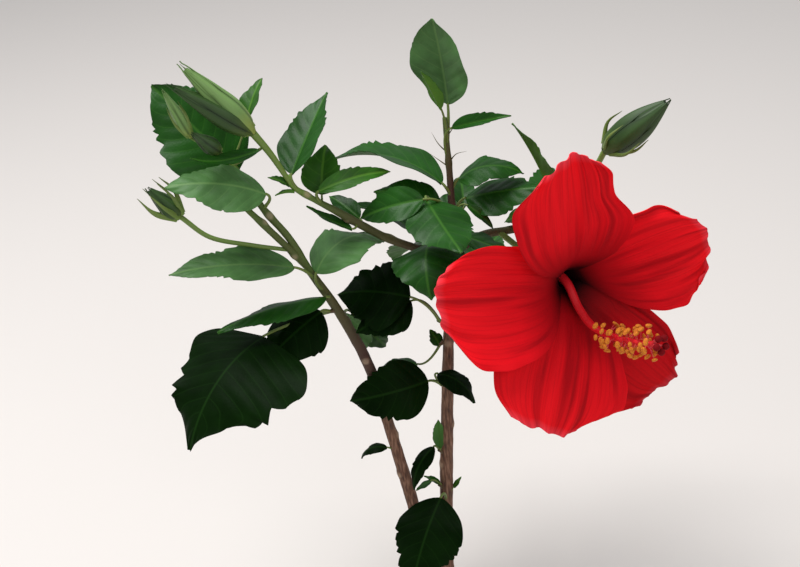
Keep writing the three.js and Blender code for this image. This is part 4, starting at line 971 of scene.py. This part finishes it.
# The first set is broad streaks of painted shade along the folds, the second the fine veins.
for stretch, detail, span in (
    ((2.2, 0.8, 1.0), 3.0, {"From Min": 0.48, "From Max": 0.66, "To Max": 0.65}),
    ((11.0, 1.4, 1.0), 2.0, {"From Min": 0.5, "From Max": 0.7, "To Max": 0.3}),
):
    way = add_node(tree, "VectorMath", {"operation": "MULTIPLY", 1: stretch}, {0: marks.outputs["Vector"]})
    folds = add_node(tree, "TexNoise", {"Scale": 1.0, "Detail": detail, "Roughness": 0.5}, {"Vector": way})
    lines.append(add_node(tree, "MapRange", span, {"Value": folds}))
dark = add_node(tree, "Math", {"operation": "MAXIMUM"}, {0: lines[0], 1: lines[1]})
veined = add_node(tree, "Mix", {"data_type": "RGBA", 7: linear("#8c030e")}, {0: dark, 6: depth})
outer = add_node(tree, "MapRange", {"From Min": 0.07, "From Max": 0.25}, {"Value": split.outputs["Y"]})
silk = add_node(tree, "Mix", {"data_type": "RGBA"}, {0: outer, 6: depth, 7: veined.outputs[2]})
# A grey for each petal by its order: painted shade, darkest on the fifth, which lies in shade under the
# bloom.
turn = add_node(tree, "Math", {"operation": "DIVIDE", 1: PETAL_MARK * 4.0}, {0: split.outputs["Z"]})
petal_shading = add_node(tree, "ValToRGB", {"stops": PETAL_SHADE_STOPS}, {0: turn})
multiply = {"data_type": "RGBA", "blend_type": "MULTIPLY", 0: 1.0}
own = add_node(tree, "Mix", multiply, {6: silk.outputs[2], 7: petal_shading})
tree.links.new(own.outputs[2], surface.inputs["Base Color"])


def grow_petal(petal, order):
    middle = math.radians(petal["azimuth"])
    w = np.linspace(-1, 1, 61)[None, :]
    clockwise = w < 0
    claw = np.linspace(0, 1, 12, endpoint=False)[:, None]
    rise, reach, half = (np.interp(claw, [0, 0.5, 1], column) for column in CLAW_COLUMNS)
    side = w * half
    out = reach + CLAW_FOLD * side
    tube = bloom_point(rise + 0 * side, np.hypot(out, side), middle + np.arctan2(side, out))

    place = np.linspace(0.0, 1, 72)[:, None]
    pinch = np.where(clockwise, PINCH, 0) if order == PINCHED_PETAL else 0 * w
    half = curve_through(PETAL_PLACES, PETAL_HALVES, place) * np.where(clockwise, *petal["halves"])
    half = half * (1 - pinch * smooth_step(place, 0.4, 0.68))
    neck = NECK_SPREAD * (THROAT_RADIUS + place * petal["reach"]) * (1 - smooth_step(place, 0.15, 0.4))
    side = w * np.maximum(half, neck)
    sag = curve_through(PETAL_PLACES, PETAL_SAGS, place) * np.where(clockwise, *petal["rounds"]) * w**2
    edge = 0.9 * np.sin(5 * w + 1.9 * order) + 0.5 * np.sin(13 * w + 3 * order) - 0.8
    run = THROAT_RADIUS + place * (petal["reach"] - THROAT_RADIUS) - sag + edge * place**6
    distance = np.hypot(run, side)
    turn = middle + np.arctan2(side, run)

    lift = funnel_rise(distance, turn) + PETAL_TILT * np.where(clockwise, *petal["lies"]) * np.abs(side)
    lift = lift + PETAL_RUFFLE * place * w**2 * np.sin(9 * place + 2.4 * w + 2 * order)
    crimp = place**5 * np.sin(17 * w + 2.1 * order + 3 * place)
    crimp = crimp + np.abs(w) ** 6 * np.sin(21 * place + 1.3 * order) * smooth_step(place, 0.3, 0.6)
    pleats = np.sin(11 * w + 1.7 * np.sin(2.3 * w + order) + 2.2 * order)
    pleats = pleats + 0.6 * np.sin(24 * w + 2.5 * np.sin(3 * w + 2 * order) + order + 2 * place)
    pleats = pleats + 0.25 * np.sin(57 * w + 3 * np.sin(5 * w + order))
    pleats = pleats * smooth_step(place, 0.1, 0.45) * (1 - 0.35 * place)
    lift = lift + RIM_CRIMP * crimp + PLEAT_HEIGHT * pleats
    sheet = np.concatenate([tube, bloom_point(lift, distance, turn)])

    normal = np.cross(np.gradient(sheet, axis=0), np.gradient(sheet, axis=1))
    normal /= np.linalg.norm(normal, axis=2)[..., None]
    depth = np.concatenate([0 * claw, place]) + 0 * w
    marks = np.stack([FOLD_MARK * w + 0 * depth, depth, PETAL_MARK * order + 0 * depth], axis=-1)
    heap = Heap()
    add_sheet(heap, sheet, sheet - normal * PETAL_THICKNESS, marks)
    return heap


for order, petal in enumerate(PETALS):
    name = f"petal_{order + 1}"
    make_piece(name + "_silk", grow_petal(petal, order), [petal_silk], [name])

# The calyx of the bloom: a ribbed green cup that splits into five pointed lobes round the tube, on the
# bloom's own stalk, with a ring of seven narrow bracts below it.
CUP_RISE = [-36, -33.3, -27.9, -19.8]
CUP_REACH = [1.4, 3.4, 6.4, 7.6]
CUP_WALL = 0.1  # as a fraction of the radius
CUP_ROWS = 26
CUP_SHARE = 0.6  # of the rows that lie below the lobes
LOBE_TIP = (-3, 9.6)
LOBE_NOTCH = (-13, 7.8)
CALYX_BRACTS = 7
BRACT_RADIUS = 0.9
BRACT_LINE = [(-33, 3), (-29, 8), (-22, 11), (-15, 12)]
angles = np.array(turns(100))
lobe = (np.abs(((angles * SEPALS / (2 * math.pi)) % 1) - 0.5) * 2) ** 1.3
outside, inside, marks = [], [], []
for t in np.linspace(0, 1, CUP_ROWS):
    below = [0 * angles + np.interp(t / CUP_SHARE, [0, 0.33, 0.66, 1], row) for row in (CUP_RISE, CUP_REACH)]
    w = max(0, (t - CUP_SHARE) / (1 - CUP_SHARE))
    rims = [notch + (tip - notch) * lobe for notch, tip in zip(LOBE_NOTCH, LOBE_TIP)]
    rise, reach = (base + (rim - base) * w for base, rim in zip(below, rims))
    rib = 0.25 * np.cos(2 * SEPALS * angles) * math.sin(math.pi * min(1, t * 1.2))
    outside.append(bloom_point(rise, reach + rib, angles))
    marks += [(a, t, 0) for a in angles]
for step, ring in enumerate(outside[:9:-1]):
    centre = BLOOM["throat"] + bloom_axis * ((ring - BLOOM["throat"]) @ bloom_axis)[:, None]
    inside.append(centre + (ring - centre) * (1 - CUP_WALL))
    marks += [(a, 1 - step / CUP_ROWS, 0) for a in angles]
cup = Heap()
cup.add(np.array(outside + inside), tube_faces(len(outside) + len(inside), len(angles)), marks)
# The cup's marks all stand at the seam end, so the lit bud skin covers it mostly with its painted seam shade.
make_piece("calyx_cup", cup, bud_skins, ["flower_calyx"])
collar = Heap()
for turn in turns(CALYX_BRACTS, 0.4):
    line = Line([bloom_point(rise, reach, np.array(turn)) for rise, reach in BRACT_LINE])
    add_tube(
        collar, line, lambda u, a: BRACT_RADIUS * (1.08 - u) * (1 + 0.3 * math.cos(2 * a)), 8, 16,
        lambda u, a: (u, 0.1, 0),
    )
make_piece("calyx_bracts", collar, [stalk_rind])


def on_bloom_axis(rise):
    return bloom_point(rise, 0, np.array(0.0))


line = Line([flower_axis.point(30 / flower_axis.length), on_bloom_axis(-46.0), on_bloom_axis(-34.0)])
add_tube(stalks, line, lambda u, a: 1.8 - 0.2 * u, 12, 30, lambda u, a: (u, 0.15, 0))
make_piece("leaf_and_bud_stalks", stalks, [stalk_rind])

# The staminal column: a smooth red tube that rises from the bottom of the cup and droops out of the throat.
# Its outer half bristles with filaments, each with a kidney of yellow pollen, and it ends in five stigmas.
COLUMN_LINE = [
    (78.6, -45, 227.6), (83, -57, 218), (88, -69, 213), (96, -83, 213), (105, -95, 215), (114, -105, 218),
]
COLUMN_RADIUS = 2.7
RIDGE_RISE = 0.08
ANTHERS = 72
ANTHER_SIZE = (1.6, 1.0, 1.1)
FIRST_ANTHER, ANTHER_RUN = 0.6, 0.36  # as fractions of the column
FILAMENT_REACH, REACH_RANGE = 6.0, 3.4
FILAMENT_RADIUS = 0.24
STIGMAS = 5
STIGMA_ARM = 7
ARM_RADIUS = 0.5
STIGMA_PLACE = 6.2
STIGMA_RADIUS = 1.9
column_axis = Line([on_bloom_axis(-18.0), *COLUMN_LINE])
column_skin = new_material("column_flesh", {"Base Color": linear("#e01824"), "Roughness": 0.45})[0]
column = Heap()
add_tube(
    column, column_axis, lambda u, a: COLUMN_RADIUS * (1 - 0.5 * u) + RIDGE_RISE * math.cos(5 * a), 24, 90,
    lambda u, a: (u, 0, 0),
)
make_piece("column_tube", column, [column_skin], ["staminal_column"])


def column_side(u, angle):
    """The way out from the column at an angle round it, and the way along it."""
    tangent = column_axis.tangent(u)
    across = unit(np.array([0, 0, 1.0]) - tangent * tangent[2])
    return between(across, np.cross(tangent, across), angle), tangent


def add_ball(heap, centre, axes, rows, sides, dent=0.0):
    """A small rounded body with its three half axes, dented along one side like a kidney."""
    points = []
    for v in np.linspace(0.05, math.pi - 0.05, rows):
        for angle in turns(sides):
            girth = math.sin(v) * (1 - dent * max(0, math.cos(angle)) ** 2)
            points.append(centre + axes[0] * math.cos(v) + between(axes[1], axes[2], angle) * girth)
    heap.add(points, tube_faces(rows, sides), (0, 0, 0))


filaments, anthers, stigmas = Heap(), Heap(), Heap()
lengths = sequence(5)
for i in range(ANTHERS):
    u = min(0.97, FIRST_ANTHER + ANTHER_RUN * i / (ANTHERS - 1) + 0.015 * next(lengths))
    out, tangent = column_side(u, i * GOLDEN_ANGLE + next(lengths))
    aim = unit(out + tangent * (0.2 + 0.5 * next(lengths)))
    reach = FILAMENT_REACH + REACH_RANGE * next(lengths)
    root = column_axis.point(u)
    tip = root + aim * reach
    line = Line([root, (root + tip) / 2 - [0, 0, 0.4], tip])
    add_tube(filaments, line, lambda v, a: FILAMENT_RADIUS * (1.1 - 0.4 * v), 6, 6, lambda v, a: (v, 0, 0))
    cross = unit(np.cross(aim, tangent))
    size = 1.0 + 0.35 * next(lengths)
    ways = (cross, aim, unit(np.cross(cross, aim)))
    add_ball(anthers, tip, [way * half * size for way, half in zip(ways, ANTHER_SIZE)], 8, 12, 0.45)
for turn in turns(STIGMAS, 0.25):
    out, tangent = column_side(1.0, turn)
    aim = out * 0.6 + tangent * 0.9
    root = column_axis.point(1.0) - tangent
    line = Line([root, root + aim * STIGMA_ARM / 2, root + aim * STIGMA_ARM])
    add_tube(filaments, line, lambda v, a: ARM_RADIUS, 8, 6, lambda v, a: (v, 0, 0), end=0.9)
    add_ball(stigmas, root + aim * STIGMA_PLACE, np.eye(3) * STIGMA_RADIUS, 10, 16)
filament_skin = new_material("filament_flesh", {"Base Color": linear("#d8424a"), "Roughness": 0.5})[0]
pollen, tree, surface = new_material("pollen_grains", {"Roughness": 0.85})
place = add_node(tree, "TexCoord", {}, {}).outputs["Object"]
grains = add_node(tree, "TexVoronoi", {"Scale": 2500.0}, {"Vector": place})
gold = add_node(tree, "ValToRGB", {"stops": [(0.0, "#f2a51c"), (0.7, "#b8590c")]}, {0: grains})
tree.links.new(gold.outputs["Color"], surface.inputs["Base Color"])
finish = {"Base Color": linear("#74060e"), "Roughness": 0.8, "Specular IOR Level": 0.12}
velvet = new_material("stigma_velvet", finish)[0]
make_piece("filaments", filaments, [filament_skin])
make_piece("anthers", anthers, [pollen])
make_piece("stigmas", stigmas, [velvet])

sizes = {"cad": cad_box, "visual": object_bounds()}
{name: [list(corner) for corner in box] for name, box in sizes.items()}
